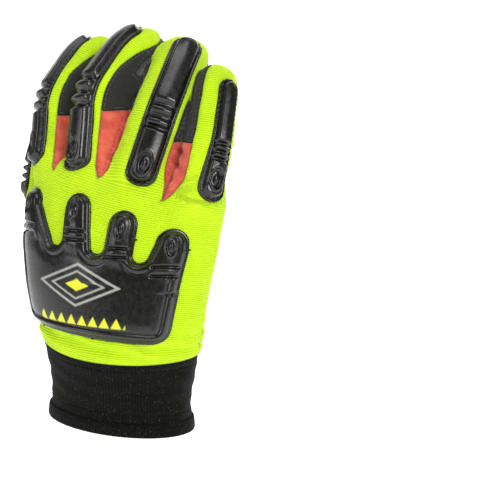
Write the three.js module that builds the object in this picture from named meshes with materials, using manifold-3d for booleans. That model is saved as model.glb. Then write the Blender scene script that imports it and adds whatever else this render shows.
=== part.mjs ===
// An impact and vibration work glove for a right hand, standing with its fingers up.
// Millimetres. +Z runs from the wrist opening to the fingertips, -Y is the back of the
// hand, and +X is the little finger's side. The origin is the centre of the wrist opening.
import * as THREE from "three";
import { mergeVertices } from "three/addons/utils/BufferGeometryUtils.js";
import Module from "manifold-3d";

const wasm = await Module();
wasm.setup();

// Hand
const handLength = 95; // cuff seam to the finger crotches
const knuckleWidth = 118; // along the arched back
const palmDepth = 40; // back to palm, worn
const archRadius = 95; // of the knuckle row
const knuckleSlope = 0.2; // how much lower the little finger's side ends
const fabricWall = 2;
const seamGap = 0.4; // between two panels sewn together
const layerGap = 0.35; // under a piece that is sewn on

// Cuff
const cuffHeight = 42;
const cuffWidth = 87; // at the wrist opening
const cuffDepth = 54;
const cuffTopWidth = 94; // at the seam to the hand
const cuffTopDepth = 61;
const cuffWall = 2.6;
const cuffWaist = 2.4; // how far its sides draw in at half height
const bindingHeight = 7;
const bindingProud = 1.3;
const strapHeight = 27;
const strapThick = 2.2;
const strapLift = 1.5; // above the binding
const strapSpan = [-0.46, 0.14]; // its straight part, as shares of the cuff's width
const loopWidth = 4.6;
const loopThick = 1.6;
const loopReach = 17; // straight, past its bend
const loopHold = 9; // sewn inside the cuff
const loopTilt = 58; // degrees out from the palm side
const loopBend = 5; // radius
const loopSpan = 11; // between the middles of its legs
const loopAcross = -0.25; // share of the cuff's width, to the thumb's side

// Moulded guards
const guardHeight = 4.2;
const guardWidth = 15;
const plateHeight = 4.2;
const plateWidth = 96;
const plateLength = 77;
const plateLift = 12; // its lower edge above the cuff seam
const plateShift = -9; // its middle, towards the thumb
const lobeRadius = 7.6;
const plateCorner = 8;
const padHeight = 3.6;
const palmPadWidth = 88;
const palmPadLength = 66;
const palmPadLift = 5; // above the cuff seam
const upperPadWidth = 90;
const upperPadLength = 30;
const padSpacing = 4; // between the two palm pads
const padAcross = -0.06; // their middle, as a share of the knuckle width

// Where panels meet round a finger, in degrees from the middle of its back
const backSeam = 62;
const frontSeam = 126;
const tipSeam = 98; // where the leather tip's edge runs
const patchShare = 0.4; // how far the coloured crotch patch reaches up the finger
const capShare = 0.63; // where the leather tip starts
const rootShare = -0.16;
const endShare = 1.12;
const wedgeReach = 1.32; // how far a cutting wedge goes, as a share of the half section
const thumbSeam = 62;
const guardSpan = { finger: [0.02, 0.89], thumb: [0.48, 0.93] };

// The back plate's lobes over the knuckles, as shares of its width and length
const plateLobes = [
  { across: -0.427, top: 0.987 },
  { across: -0.083, top: 0.994 },
  { across: 0.203, top: 0.896 },
  { across: 0.455, top: 0.78 },
];
const plateValleys = [
  { across: -0.21, top: 0.62 },
  { across: 0.07, top: 0.592 },
  { across: 0.319, top: 0.548 },
];
// Its sides, from the right of the knuckles round the lower edge to the left of them.
const plateSides = [
  { across: 0.52, up: 0.62 },
  { across: 0.47, up: -0.01 },
  { across: -0.385, up: 0.03 },
  { across: -0.48, up: 0.6 },
];

// Sections of the hand from the cuff seam up. wide and deep are shares of the knuckle
// width and the palm depth, arch is a share of the knuckle row's curvature.
const wristWide = cuffTopWidth / knuckleWidth;
const wristDeep = cuffTopDepth / palmDepth;
const handSections = [
  { up: -0.12, wide: wristWide, deep: wristDeep, arch: 0.02, power: 2.1, across: 0.0, back: 0.0 },
  { up: 0.0, wide: wristWide, deep: wristDeep, arch: 0.1, power: 2.1, across: 0.0, back: 0.0 },
  { up: 0.14, wide: 0.82, deep: 1.5, arch: 0.28, power: 2.15, across: 0.0, back: 0.0 },
  { up: 0.34, wide: 0.88, deep: 1.3, arch: 0.5, power: 2.2, across: -0.012, back: -0.01 },
  { up: 0.54, wide: 0.935, deep: 1.14, arch: 0.74, power: 2.25, across: -0.022, back: -0.012 },
  { up: 0.74, wide: 0.98, deep: 0.98, arch: 0.92, power: 2.3, across: -0.022, back: 0.0 },
  { up: 0.9, wide: 0.985, deep: 0.84, arch: 1.0, power: 2.4, across: -0.02, back: 0.015 },
  { up: 0.975, wide: 0.965, deep: 0.68, arch: 1.0, power: 2.4, across: -0.02, back: 0.03 },
  { up: 1.0, wide: 0.93, deep: 0.42, arch: 1.0, power: 2.4, across: -0.02, back: 0.035 },
];

// Digits. across, back and up are shares of the knuckle width and hand length, faces is
// the azimuth of the nail side, splay leans to the little finger's side, and curl, bend
// and tip are the flexions at the base, middle and last joint, all in degrees.
const digitSizes = {
  index: { length: 90, width: 27.5, depth: 26 },
  middle: { length: 97, width: 28.5, depth: 27 },
  ring: { length: 98, width: 29.5, depth: 26.5 },
  pinky: { length: 77, width: 25, depth: 24 },
  thumb: { length: 112, width: 33, depth: 32 },
};
const digitPlaces = {
  index: { across: -0.397, back: 0.14, up: 1.018, faces: -40, splay: -18.7, curl: 11, bend: 25, tip: 15 },
  middle: { across: -0.153, back: 0.07, up: 1.001, faces: -30, splay: -10, curl: 12, bend: 29, tip: 17 },
  ring: { across: 0.096, back: 0.039, up: 0.928, faces: 16.4, splay: 13.6, curl: 16.7, bend: 17, tip: 10 },
  pinky: { across: 0.343, back: 0.086, up: 0.862, faces: 42.4, splay: 17.7, curl: 9, bend: 9, tip: 5 },
  thumb: { across: -0.395, back: 0.2, up: 0.3, faces: -76, splay: -17, curl: -20, bend: 22, tip: 14 },
};
const fingers = ["index", "middle", "ring", "pinky"];
const jointShares = { finger: [0.45, 0.76], thumb: [0.42, 0.72] };
// Sections along a digit: share of its length, then of its width and depth.
const fingerSections = [
  { along: -0.2, wide: 0.9, deep: 0.9 },
  { along: 0.05, wide: 1.0, deep: 1.0 },
  { along: 0.3, wide: 0.99, deep: 0.97 },
  { along: 0.45, wide: 1.0, deep: 0.96 },
  { along: 0.62, wide: 0.96, deep: 0.89 },
  { along: 0.8, wide: 0.93, deep: 0.82 },
  { along: 0.92, wide: 0.8, deep: 0.66 },
  { along: 0.98, wide: 0.5, deep: 0.4 },
];
const thumbSections = [
  { along: -0.12, wide: 0.5, deep: 0.6 },
  { along: -0.04, wide: 1.0, deep: 1.0 },
  { along: 0.1, wide: 1.18, deep: 1.1 },
  { along: 0.3, wide: 1.06, deep: 1.0 },
  { along: 0.48, wide: 0.88, deep: 0.88 },
  { along: 0.7, wide: 0.82, deep: 0.82 },
  { along: 0.86, wide: 0.78, deep: 0.7 },
  { along: 0.95, wide: 0.62, deep: 0.5 },
  { along: 0.985, wide: 0.4, deep: 0.3 },
];
const handSides = 20;
const digitSides = 10;
const degree = Math.PI / 180;
const cuffSeam = cuffHeight;

const v3 = (x, y, z) => new THREE.Vector3(x, y, z);
const mix = (a, b, t) => a + (b - a) * t;
const smooth = (t) => {
  const c = Math.min(1, Math.max(0, t));
  return c * c * (3 - 2 * c);
};

// A row of a table at a share between its rows.
function rowAt(table, key, at) {
  const last = table.length - 1;
  let i = 0;
  while (i < last - 1 && table[i + 1][key] < at) i += 1;
  const [low, high] = [table[i], table[i + 1]];
  const t = (at - low[key]) / (high[key] - low[key]);
  return Object.fromEntries(Object.keys(low).map((k) => [k, mix(low[k], high[k], t)]));
}

// Turns triangles of points into a solid.
function solidOf(geometry) {
  const bare = new THREE.BufferGeometry();
  bare.setAttribute("position", geometry.getAttribute("position"));
  if (geometry.index) bare.setIndex(geometry.index);
  const merged = mergeVertices(bare, 1e-4);
  return new wasm.Manifold(
    new wasm.Mesh({
      numProp: 3,
      vertProperties: new Float32Array(merged.attributes.position.array),
      triVerts: new Uint32Array(merged.index.array),
    }),
  );
}

// A closed solid through loops of points, each with as many points as the next.
function loft(loops) {
  const count = loops[0].length;
  const points = loops.flat();
  const middles = [loops[0], loops[loops.length - 1]].map((loop) =>
    loop.reduce((sum, p) => sum.add(p), v3(0, 0, 0)).divideScalar(count),
  );
  const index = [];
  for (let i = 0; i < loops.length - 1; i += 1)
    for (let j = 0; j < count; j += 1) {
      const k = (j + 1) % count;
      const [a, b, c, d] = [i * count + j, i * count + k, (i + 1) * count + j, (i + 1) * count + k];
      index.push(a, b, d, a, d, c);
    }
  const top = (loops.length - 1) * count;
  for (let j = 0; j < count; j += 1) {
    const k = (j + 1) % count;
    index.push(points.length, k, j);
    index.push(points.length + 1, top + j, top + k);
  }
  const all = [...points, ...middles];
  const geometry = new THREE.BufferGeometry().setFromPoints(all).setIndex(index);
  const made = solidOf(geometry);
  return made.volume() > 0 ? made : solidOf(flipped(geometry));
}

function flipped(geometry) {
  const turned = geometry.clone();
  const index = Array.from(turned.index.array);
  for (let i = 0; i < index.length; i += 3) [index[i + 1], index[i + 2]] = [index[i + 2], index[i + 1]];
  return turned.setIndex(index);
}

// A superellipse's point at an angle, as [along its width, along its depth].
function roundedPoint(angle, halfWidth, halfDepth, power) {
  const [c, s] = [Math.cos(angle), Math.sin(angle)];
  return [
    halfWidth * Math.sign(c) * Math.abs(c) ** (2 / power),
    halfDepth * Math.sign(s) * Math.abs(s) ** (2 / power),
  ];
}

// The hand's section at a share of its length, with its wall moved out by grow.
function handAt(up, grow = 0) {
  const row = rowAt(handSections, "up", up);
  return {
    ...row,
    halfWidth: (row.wide * knuckleWidth) / 2 + grow,
    halfDepth: (row.deep * palmDepth) / 2 + grow,
    radius: archRadius / row.arch,
    middle: v3(row.across * knuckleWidth, row.back * knuckleWidth, cuffSeam + up * handLength),
  };
}

// A point of the hand's section, along its arc and out from its middle line.
function onArc(section, along, out) {
  const angle = along / section.radius;
  const reach = section.radius + out;
  const x = section.middle.x + reach * Math.sin(angle);
  const y = section.middle.y + section.radius - reach * Math.cos(angle);
  const lower = Math.max(0, section.up) * knuckleSlope * x;
  return v3(x, y, section.middle.z - lower);
}

function handLoop(up, grow) {
  const section = handAt(up, grow);
  return Array.from({ length: handSides }, (_, j) => {
    const angle = (j / handSides) * 2 * Math.PI;
    const [along, out] = roundedPoint(angle, section.halfWidth, section.halfDepth, section.power);
    return onArc(section, along, out);
  });
}

// The hand's body with its wall moved out by grow, its closed top too.
function handSolid(grow) {
  const top = handSections.length - 1;
  return loft(
    handSections.map((row, i) => {
      const lift = v3(0, 0, i === top ? grow : 0);
      return handLoop(row.up, grow).map((p) => p.add(lift));
    }),
  );
}

// A frame at each step along a digit's middle line.
function digitFrames(name) {
  const { length } = digitSizes[name];
  const place = digitPlaces[name];
  const [middleJoint, lastJoint] = jointShares[name === "thumb" ? "thumb" : "finger"];
  const outward = v3(Math.sin(place.faces * degree), -Math.cos(place.faces * degree), 0);
  const side = v3(Math.cos(place.faces * degree), Math.sin(place.faces * degree), 0);
  const lean = place.splay * degree;
  const ahead = v3(0, 0, Math.cos(lean)).addScaledVector(side, Math.sin(lean));
  const across = side.clone().multiplyScalar(Math.cos(lean)).add(v3(0, 0, -Math.sin(lean)));
  const root = v3(place.across * knuckleWidth, place.back * knuckleWidth, cuffSeam + place.up * handLength);
  const flexion = (share) =>
    degree *
    (place.curl +
      place.bend * smooth((share - middleJoint + 0.1) / 0.2) +
      place.tip * smooth((share - lastJoint + 0.1) / 0.2));
  const heading = (share) => {
    const turn = flexion(share);
    return ahead.clone().multiplyScalar(Math.cos(turn)).addScaledVector(outward, -Math.sin(turn));
  };
  return (share) => {
    const steps = Math.max(1, Math.round(Math.abs(share) * 50));
    const middle = root.clone();
    const step = (share * length) / steps;
    for (let i = 0; i < steps; i += 1) middle.addScaledVector(heading(((i + 0.5) / steps) * share), step);
    const turn = flexion(share);
    const dorsal = outward.clone().multiplyScalar(Math.cos(turn)).addScaledVector(ahead, Math.sin(turn));
    return { middle, across, dorsal, heading: heading(share) };
  };
}
const frameOf = Object.fromEntries(Object.keys(digitSizes).map((name) => [name, digitFrames(name)]));

function inFrame(frame, across, dorsal, ahead = 0) {
  return frame.middle
    .clone()
    .addScaledVector(frame.across, across)
    .addScaledVector(frame.dorsal, dorsal)
    .addScaledVector(frame.heading, ahead);
}

function digitRow(name, share) {
  const row = rowAt(name === "thumb" ? thumbSections : fingerSections, "along", share);
  const { width, depth } = digitSizes[name];
  return { halfWidth: (row.wide * width) / 2, halfDepth: (row.deep * depth) / 2 };
}

const digitPower = 2.4;
const tipLeast = 0.9; // the least half width that a hollow digit's end may have
function digitSolid(name, grow) {
  const table = name === "thumb" ? thumbSections : fingerSections;
  return loft(
    table.map((row, i) => {
      const frame = frameOf[name](row.along);
      const { halfWidth, halfDepth } = digitRow(name, row.along);
      const atTip = smooth((i - table.length + 4) / 3);
      const [wide, deep] = [halfWidth, halfDepth].map((size) => Math.max(tipLeast, size + grow));
      return Array.from({ length: digitSides }, (_, j) => {
        const angle = ((j + 0.5) / digitSides) * 2 * Math.PI;
        const [across, dorsal] = roundedPoint(angle, wide, deep, digitPower);
        return inFrame(frame, across, dorsal, grow * atTip);
      });
    }),
  );
}

const digitNames = Object.keys(digitSizes);
const digitSkin = Object.fromEntries(digitNames.map((name) => [name, digitSolid(name, layerGap)]));
const wedgeShares = Array.from({ length: 8 }, (_, i) => mix(rootShare, endShare, (i + 0.5) / 8));

// A wedge along a digit between two angles from its nail side, drawn in by inset.
function digitWedge(name, from, to, low, high, inset = 0) {
  const rays = Math.ceil((to - from) / 30);
  const drawnIn = inset / digitSizes[name].length;
  const inner = wedgeShares.filter((share) => share > low + 0.02 && share < high - 0.02);
  const middle = ((from + to) / 2) * degree;
  const apex = inset / Math.sin(((to - from) / 2) * degree);
  const loops = [low + drawnIn, ...inner, high - drawnIn].map((share) => {
    const { halfWidth, halfDepth } = digitRow(name, Math.max(0, Math.min(share, 0.9)));
    const frame = frameOf[name](share);
    const rim = Array.from({ length: rays + 1 }, (_unused, j) => {
      const angle = mix(from, to, j / rays) * degree;
      const inward = j === 0 ? inset : j === rays ? -inset : 0;
      const across = Math.sin(angle) * halfWidth * wedgeReach + Math.cos(angle) * inward;
      const dorsal = Math.cos(angle) * halfDepth * wedgeReach - Math.sin(angle) * inward;
      return inFrame(frame, across, dorsal);
    });
    return [inFrame(frame, Math.sin(middle) * apex, Math.cos(middle) * apex), ...rim];
  });
  return loft(loops).intersect(digitSkin[name]);
}

// A slab of the hand between two arc shares and two distances from its middle line.
function handSlab(low, high, alongFrom, alongTo, outFrom, outTo, inset = 0) {
  const rows = 6;
  const cells = 5;
  return loft(
    Array.from({ length: rows + 1 }, (_, i) => {
      const drawnIn = (i === 0 ? inset : i === rows ? -inset : 0) / handLength;
      const section = handAt(mix(low, high, i / rows) + drawnIn);
      const [from, to] = [alongFrom(section) + inset, alongTo(section) - inset];
      const edge = (out, a, b) =>
        Array.from({ length: cells + 1 }, (_unused, j) => onArc(section, mix(a, b, j / cells), out));
      return [...edge(outFrom, from, to), ...edge(outTo, to, from)];
    }),
  );
}

const join = (list) => list.reduce((a, b) => a.add(b));

const handOuter = handSolid(0);
const digitOuter = Object.fromEntries(digitNames.map((name) => [name, digitSolid(name, 0)]));
const hollow = join([handSolid(-fabricWall), ...digitNames.map((name) => digitSolid(name, -fabricWall))]);
const handAndFingers = join([handOuter, ...fingers.map((name) => digitOuter[name])]);

// Space above the cuff seam and below the crotches.
const farAway = 90;
const halfSpace = (top, bottom) => {
  const block = new THREE.BoxGeometry(2 * farAway, 2 * farAway, top - bottom);
  return solidOf(block.translate(0, 0, (top + bottom) / 2));
};
const aboveCuff = halfSpace(cuffSeam + 2 * handLength + farAway, cuffSeam + seamGap / 2);
const shell = handAndFingers.subtract(hollow).intersect(aboveCuff);

// Zones of the hand: the back, the palm and its two sides.
const thumbSideMargin = 9;
const littleSideMargin = 7;
const crotchLine = 0.955;
const sideLine = 0.935; // where the side panels pass to the fingers
const zoneFoot = -0.1;
const overSide = 34; // past the deepest wall of the hand
const thumbEdge = (s) => -s.halfWidth + thumbSideMargin;
const littleEdge = (s) => s.halfWidth - littleSideMargin;
const pastThumb = (s) => -s.halfWidth - overSide;
const pastLittle = (s) => s.halfWidth + overSide;
const backZone = (inset) => handSlab(zoneFoot, crotchLine, thumbEdge, littleEdge, inset, overSide, inset);
const palmZone = (inset) => handSlab(zoneFoot, crotchLine, thumbEdge, littleEdge, -inset, -overSide, inset);
const sideZone = (from, to, inset) => handSlab(zoneFoot, sideLine, from, to, -overSide, overSide, inset);
const littleSideZone = (inset) => sideZone(littleEdge, pastLittle, inset);
const thumbSideZone = (inset) => sideZone(pastThumb, thumbEdge, inset);
const half = seamGap / 2;
const sliver = 0.03;
const turnRound = 360;
const backWedge = (name, inset) => digitWedge(name, -backSeam, backSeam, rootShare, endShare, inset);
const frontWedge = (name, inset) =>
  digitWedge(name, frontSeam, turnRound - frontSeam, rootShare, capShare, inset);
const backWedges = (inset) => fingers.map((name) => backWedge(name, inset));
const frontWedges = (inset) => fingers.map((name) => frontWedge(name, inset));

const nodes = new THREE.Group();
const finishes = {
  limeKnit: { color: 0xc4ec17, roughness: 0.85, metalness: 0 },
  blackRubber: { color: 0x1b1e1d, roughness: 0.42, metalness: 0 },
  blackMesh: { color: 0x1a1a18, roughness: 0.9, metalness: 0 },
  coralPatch: { color: 0xe0574a, roughness: 0.8, metalness: 0 },
  blackLeather: { color: 0x1c1817, roughness: 0.62, metalness: 0 },
  cuffKnit: { color: 0x151515, roughness: 0.95, metalness: 0 },
  limeTape: { color: 0xb9dc1c, roughness: 0.8, metalness: 0 },
};

// The largest body of a cut: slivers where two cuts meet are left off.
function mainBody(solid) {
  return solid.decompose().reduce((a, b) => (b.volume() > a.volume() ? b : a));
}

function addNode(name, solid, finish) {
  const mesh = mainBody(solid.simplify(sliver)).getMesh();
  const stride = mesh.numProp;
  const points = new Float32Array(mesh.numVert * 3);
  for (let i = 0; i < mesh.numVert; i += 1) {
    points.set(mesh.vertProperties.subarray(i * stride, i * stride + 3), i * 3);
  }
  const geometry = new THREE.BufferGeometry()
    .setAttribute("position", new THREE.BufferAttribute(points, 3))
    .setIndex(new THREE.BufferAttribute(mesh.triVerts, 1));
  geometry.computeVertexNormals();
  const made = new THREE.Mesh(geometry, new THREE.MeshStandardMaterial(finishes[finish]));
  made.name = name;
  nodes.add(made);
}

// Panels down the fingers, each clear of the hand's panel and of the finger before it
function fingerPanels(ending, cloth, handZone, wedge) {
  let taken = handZone(-half);
  for (const name of fingers) {
    addNode(`${name}_${ending}`, cloth.intersect(wedge(name, half)).subtract(taken), "limeKnit");
    taken = taken.add(wedge(name, -half));
  }
}

// The fabric of the hand and fingers
addNode("back_panel", shell.intersect(backZone(half)), "limeKnit");
fingerPanels("back_strip", shell, backZone, backWedge);
const sewn = shell.subtract(join([backZone(-half), ...backWedges(-half)]));
addNode("palm_panel", sewn.intersect(palmZone(half)), "limeKnit");
fingerPanels("front_strip", sewn, palmZone, frontWedge);
const sides = sewn.subtract(join([palmZone(-half), ...frontWedges(-half)]));

const pairs = [
  ["index", "middle"],
  ["middle", "ring"],
  ["ring", "pinky"],
];
const rightSide = (name, low, high, edge) => digitWedge(name, backSeam, edge, low, high, half);
const leftSide = (name, low, high, edge) => digitWedge(name, -edge, -backSeam, low, high, half);
const capStart = capShare - 0.02; // the strips beside a leather tip start inside the lower ones
const stripOf = (side, name) =>
  join([side(name, patchShare, capShare, frontSeam), side(name, capStart, endShare, tipSeam)]);
const rightStrip = (name) => stripOf(rightSide, name);
const leftStrip = (name) => stripOf(leftSide, name);
const acrossOf = (name) => digitPlaces[name].across * knuckleWidth;
const crotchTop = 1.25;
const crotchDepth = palmDepth / 4;
const crotchBlock = (a, b) =>
  handSlab(sideLine, crotchTop, () => acrossOf(a), () => acrossOf(b), -crotchDepth, crotchDepth);
for (const [a, b] of pairs) {
  const patch = join([
    rightSide(a, rootShare, patchShare, frontSeam),
    leftSide(b, rootShare, patchShare, frontSeam),
    crotchBlock(a, b),
  ]);
  const beside = [a, b].map((name) => join([rightStrip(name), leftStrip(name)]));
  addNode(`${a}_${b}_crotch_patch`, sides.intersect(patch).subtract(join(beside)), "coralPatch");
  addNode(`${a}_side_to_${b}`, sides.intersect(rightStrip(a)), "blackMesh");
  addNode(`${b}_side_to_${a}`, sides.intersect(leftStrip(b)), "blackMesh");
}

const indexSide = join([
  leftSide("index", rootShare, capShare, frontSeam),
  leftSide("index", capStart, endShare, tipSeam),
  thumbSideZone(half),
]);
const pinkySide = join([
  rightSide("pinky", rootShare, capShare, frontSeam),
  rightSide("pinky", capStart, endShare, tipSeam),
  littleSideZone(half),
]);
const thumbRoom = digitSolid("thumb", seamGap);
addNode("index_side_panel", sides.intersect(indexSide).subtract(thumbRoom), "blackLeather");
addNode("little_side_panel", sides.intersect(pinkySide), "blackLeather");
for (const name of fingers) {
  const cap = digitWedge(name, tipSeam, turnRound - tipSeam, capShare, endShare, half);
  addNode(`${name}_tip_cap`, sewn.intersect(cap), "blackLeather");
}

// The thumb
const thumbShell = digitOuter.thumb
  .subtract(hollow)
  .subtract(join([handSolid(seamGap), ...fingers.map((name) => digitSolid(name, seamGap))]))
  .intersect(aboveCuff);
const thumbFront = turnRound / 2 - thumbSeam;
const thumbPart = (from, to, low, high) =>
  thumbShell.intersect(digitWedge("thumb", from, to, low, high, half));
addNode("thumb_back_panel", thumbPart(-thumbSeam, thumbSeam, rootShare, endShare), "limeKnit");
addNode("thumb_side_strip", thumbPart(thumbSeam, thumbFront, rootShare, capShare), "blackLeather");
addNode("thumb_front_panel", thumbPart(thumbFront, turnRound - thumbSeam, rootShare, capShare), "limeKnit");
addNode("thumb_tip_cap", thumbPart(thumbSeam, turnRound - thumbSeam, capShare, endShare), "blackLeather");

// The moulded guards, each a strip with round ends down the middle of a digit's back
const skinUnder = join([handSolid(layerGap), ...digitNames.map((name) => digitSkin[name])]);
function guardStrip(name, [low, high]) {
  const steps = 9;
  const { length } = digitSizes[name];
  const reach = 2.1; // past the raised skin, as a share of the half depth
  const wide = guardWidth / 2;
  return loft(
    Array.from({ length: steps + 1 }, (_, i) => {
      const turn = Math.cos(Math.PI * (1 - i / steps));
      const share = mix(low, high, (1 + turn) / 2);
      const fromEnd = Math.min(share - low, high - share) * length;
      const round = Math.sqrt(Math.max(0.02, 1 - Math.max(0, 1 - fromEnd / wide) ** 2));
      const { halfDepth } = digitRow(name, 0.3);
      const frame = frameOf[name](share);
      return [-1, 1].flatMap((sign) => {
        const out = sign < 0 ? [0, halfDepth * reach] : [halfDepth * reach, 0];
        return out.map((d) => inFrame(frame, sign * wide * round, d));
      });
    }),
  );
}
for (const name of digitNames) {
  const span = guardSpan[name === "thumb" ? "thumb" : "finger"];
  const raised = digitSolid(name, layerGap + guardHeight).subtract(skinUnder);
  addNode(`${name}_guard`, raised.intersect(guardStrip(name, span)), "blackRubber");
}

// A prism over an outline of [x, z] points, through a range of y
function prism(outline, near, far) {
  const shape = new THREE.Shape(outline.map(([x, z]) => new THREE.Vector2(x, z)));
  const geometry = new THREE.ExtrudeGeometry(shape, { depth: far - near, bevelEnabled: false });
  return solidOf(geometry.rotateX(Math.PI / 2).translate(0, far, 0));
}

function arc(x, z, radius, from, to, steps) {
  return Array.from({ length: steps + 1 }, (_, i) => {
    const angle = mix(from, to, i / steps) * degree;
    return [x + radius * Math.cos(angle), z + radius * Math.sin(angle)];
  });
}

// Rounds the corners of an outline of [x, z] points, with four points to a corner.
const cornerShares = [0, 0.33, 0.67, 1];
const cornerMost = 0.45; // of the shorter side
function rounded(outline, radius) {
  return outline.flatMap(([x, z], i) => {
    const [before, after] = [outline.at(i - 1), outline[(i + 1) % outline.length]];
    const towards = ([a, b]) => {
      const far = Math.hypot(a - x, b - z);
      const step = Math.min(radius, far * cornerMost) / far;
      return [x + (a - x) * step, z + (b - z) * step];
    };
    const [p, q] = [towards(before), towards(after)];
    return cornerShares.map((t) => [
      p[0] * (1 - t) ** 2 + 2 * x * t * (1 - t) + q[0] * t ** 2,
      p[1] * (1 - t) ** 2 + 2 * z * t * (1 - t) + q[1] * t ** 2,
    ]);
  });
}

// The back plate
const plateFoot = cuffSeam + plateLift;
const onPlate = (across, up) => [plateShift + across * plateWidth, plateFoot + up * plateLength];
function plateOutline() {
  const sides = plateSides.map((row) => onPlate(row.across, row.up));
  const lobes = plateLobes.flatMap((row, i) => {
    const [x, z] = onPlate(row.across, row.top);
    const over = arc(x, z - lobeRadius, lobeRadius, turnRound / 2, 0, 6);
    const valley = plateValleys[i];
    return valley ? [...over, onPlate(valley.across, valley.top)] : over;
  });
  const foot = rounded(sides, plateCorner).slice(cornerShares.length, 3 * cornerShares.length);
  return [sides.at(0), ...foot, sides.at(-1), ...lobes];
}
const raisedHand = (rise) => handSolid(layerGap + rise).subtract(skinUnder);
addNode("back_plate", raisedHand(plateHeight).intersect(prism(plateOutline(), -farAway, 0)), "blackRubber");

// The palm pads
const padMiddle = padAcross * knuckleWidth;
const palmFoot = cuffSeam + palmPadLift;
const box = (width, low, high, shift) => [
  [shift - width / 2, low],
  [shift + width / 2, low],
  [shift + width / 2, high],
  [shift - width / 2, high],
];
const palmTop = palmFoot + palmPadLength;
const palmPad = prism(rounded(box(palmPadWidth, palmFoot, palmTop, padMiddle), plateCorner), 0, farAway);
const upperFoot = palmTop + padSpacing;
const upperBox = box(upperPadWidth, upperFoot, upperFoot + upperPadLength, padMiddle);
const upperPad = prism(rounded(upperBox, plateCorner), palmDepth / 3, farAway);
addNode("palm_pad", raisedHand(padHeight).intersect(palmPad), "blackLeather");
addNode("upper_palm_pad", raisedHand(padHeight).intersect(upperPad), "blackLeather");

// The cuff, its binding, the closure strap and the pull loop
const cuffSides = 24;
const waistAt = (z) => cuffWaist * Math.sin(Math.PI * Math.min(1, Math.max(0, z / cuffHeight)));
function cuffSolid(grow, low = 0, high = cuffHeight) {
  const steps = 4;
  return loft(
    Array.from({ length: steps + 1 }, (_, i) => {
      const z = mix(low, high, i / steps);
      const t = z / cuffHeight;
      const waist = waistAt(z);
      const wide = mix(cuffWidth, cuffTopWidth, t) / 2 - waist + grow;
      const deep = mix(cuffDepth, cuffTopDepth, t) / 2 - waist + grow;
      return Array.from({ length: cuffSides }, (_unused, j) => {
        const angle = (j / cuffSides) * 2 * Math.PI;
        return v3(wide * Math.cos(angle), deep * Math.sin(angle), z);
      });
    }),
  );
}
const past = 1;
const cuffInner = cuffSolid(-cuffWall, -past, cuffHeight + past);
addNode("cuff", cuffSolid(0, 0, cuffHeight - half).subtract(cuffInner), "cuffKnit");
const cuffUnder = cuffSolid(layerGap, -past, cuffHeight + past);
const bindingRing = cuffSolid(layerGap + bindingProud, 0, bindingHeight).subtract(cuffUnder);
addNode("cuff_binding", bindingRing, "cuffKnit");
const strapFoot = bindingHeight + strapLift;
const strapTop = strapFoot + strapHeight;
const [strapFrom, strapTo] = strapSpan.map((share) => share * cuffWidth);
const strapOutline = [
  [strapFrom, strapFoot],
  ...arc(strapTo, (strapFoot + strapTop) / 2, strapHeight / 2, -90, 90, 10),
  [strapFrom, strapTop],
];
const strapSpace = cuffSolid(layerGap + strapThick, strapFoot - past, strapTop + past).subtract(cuffUnder);
addNode("closure_strap", strapSpace.intersect(prism(strapOutline, 0, farAway)), "cuffKnit");

// A flat tape in a U, its legs inside the cuff's palm side and its end bent outwards.
function pullLoop() {
  const [a, b] = [cuffWidth / 2 - cuffWall, cuffDepth / 2 - cuffWall];
  const turn = Math.acos((loopAcross * cuffWidth) / a);
  const [c, d] = [Math.cos(turn), Math.sin(turn)];
  const outward = v3(c / a, d / b, 0).normalize();
  const along = v3(outward.y, -outward.x, 0);
  const curve = (a ** 2 * d ** 2 + b ** 2 * c ** 2) ** 1.5 / (a * b);
  const halfSpan = (loopSpan + loopWidth) / 2;
  const setBack = halfSpan ** 2 / (2 * curve) + waistAt(loopHold) + layerGap + loopThick / 2;
  const start = v3(a * c, b * d, loopHold).addScaledVector(outward, -setBack);
  const tilt = loopTilt * degree;
  const radius = loopSpan / 2;
  const straight = loopHold + loopBend * tilt + loopReach - radius;
  const onSheet = (x, down, out) => {
    const bent = Math.min(tilt, Math.max(0, (down - loopHold) / loopBend));
    const beyond = Math.max(0, down - loopHold - loopBend * tilt);
    const fall = Math.min(down, loopHold) + loopBend * Math.sin(bent) + beyond * Math.cos(bent);
    const reach = loopBend * (1 - Math.cos(bent)) + beyond * Math.sin(bent);
    return start
      .clone()
      .addScaledVector(along, x)
      .addScaledVector(outward, reach + out * Math.cos(bent))
      .add(v3(0, 0, out * Math.sin(bent) - fall));
  };
  const legSteps = 8;
  const roundSteps = 8;
  const leg = Array.from({ length: legSteps }, (_, i) => [-radius, (straight * i) / legSteps, -1, 0]);
  const round = Array.from({ length: roundSteps + 1 }, (_, i) => {
    const angle = Math.PI * (1 - i / roundSteps);
    return [radius * Math.cos(angle), straight + radius * Math.sin(angle), Math.cos(angle), Math.sin(angle)];
  });
  const back = [...leg].reverse().map(([x, down]) => [-x, down, 1, 0]);
  const corners = [
    [-1, -1],
    [1, -1],
    [1, 1],
    [-1, 1],
  ];
  const [wide, thick] = [loopWidth / 2, loopThick / 2];
  return loft(
    [...leg, ...round, ...back].map(([x, down, nx, nd]) =>
      corners.map(([w, t]) => onSheet(x + nx * w * wide, down + nd * w * wide, t * thick)),
    ),
  );
}
addNode("pull_loop", pullLoop(), "limeTape");

export default nodes;
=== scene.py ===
# Looks of an impact and vibration work glove for a right hand, standing with its fingers up.
# Lengths are in millimetres until a mesh is made. +Z runs to the fingertips, -Y is the back
# of the hand and +X is the little finger's side.
import math

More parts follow.
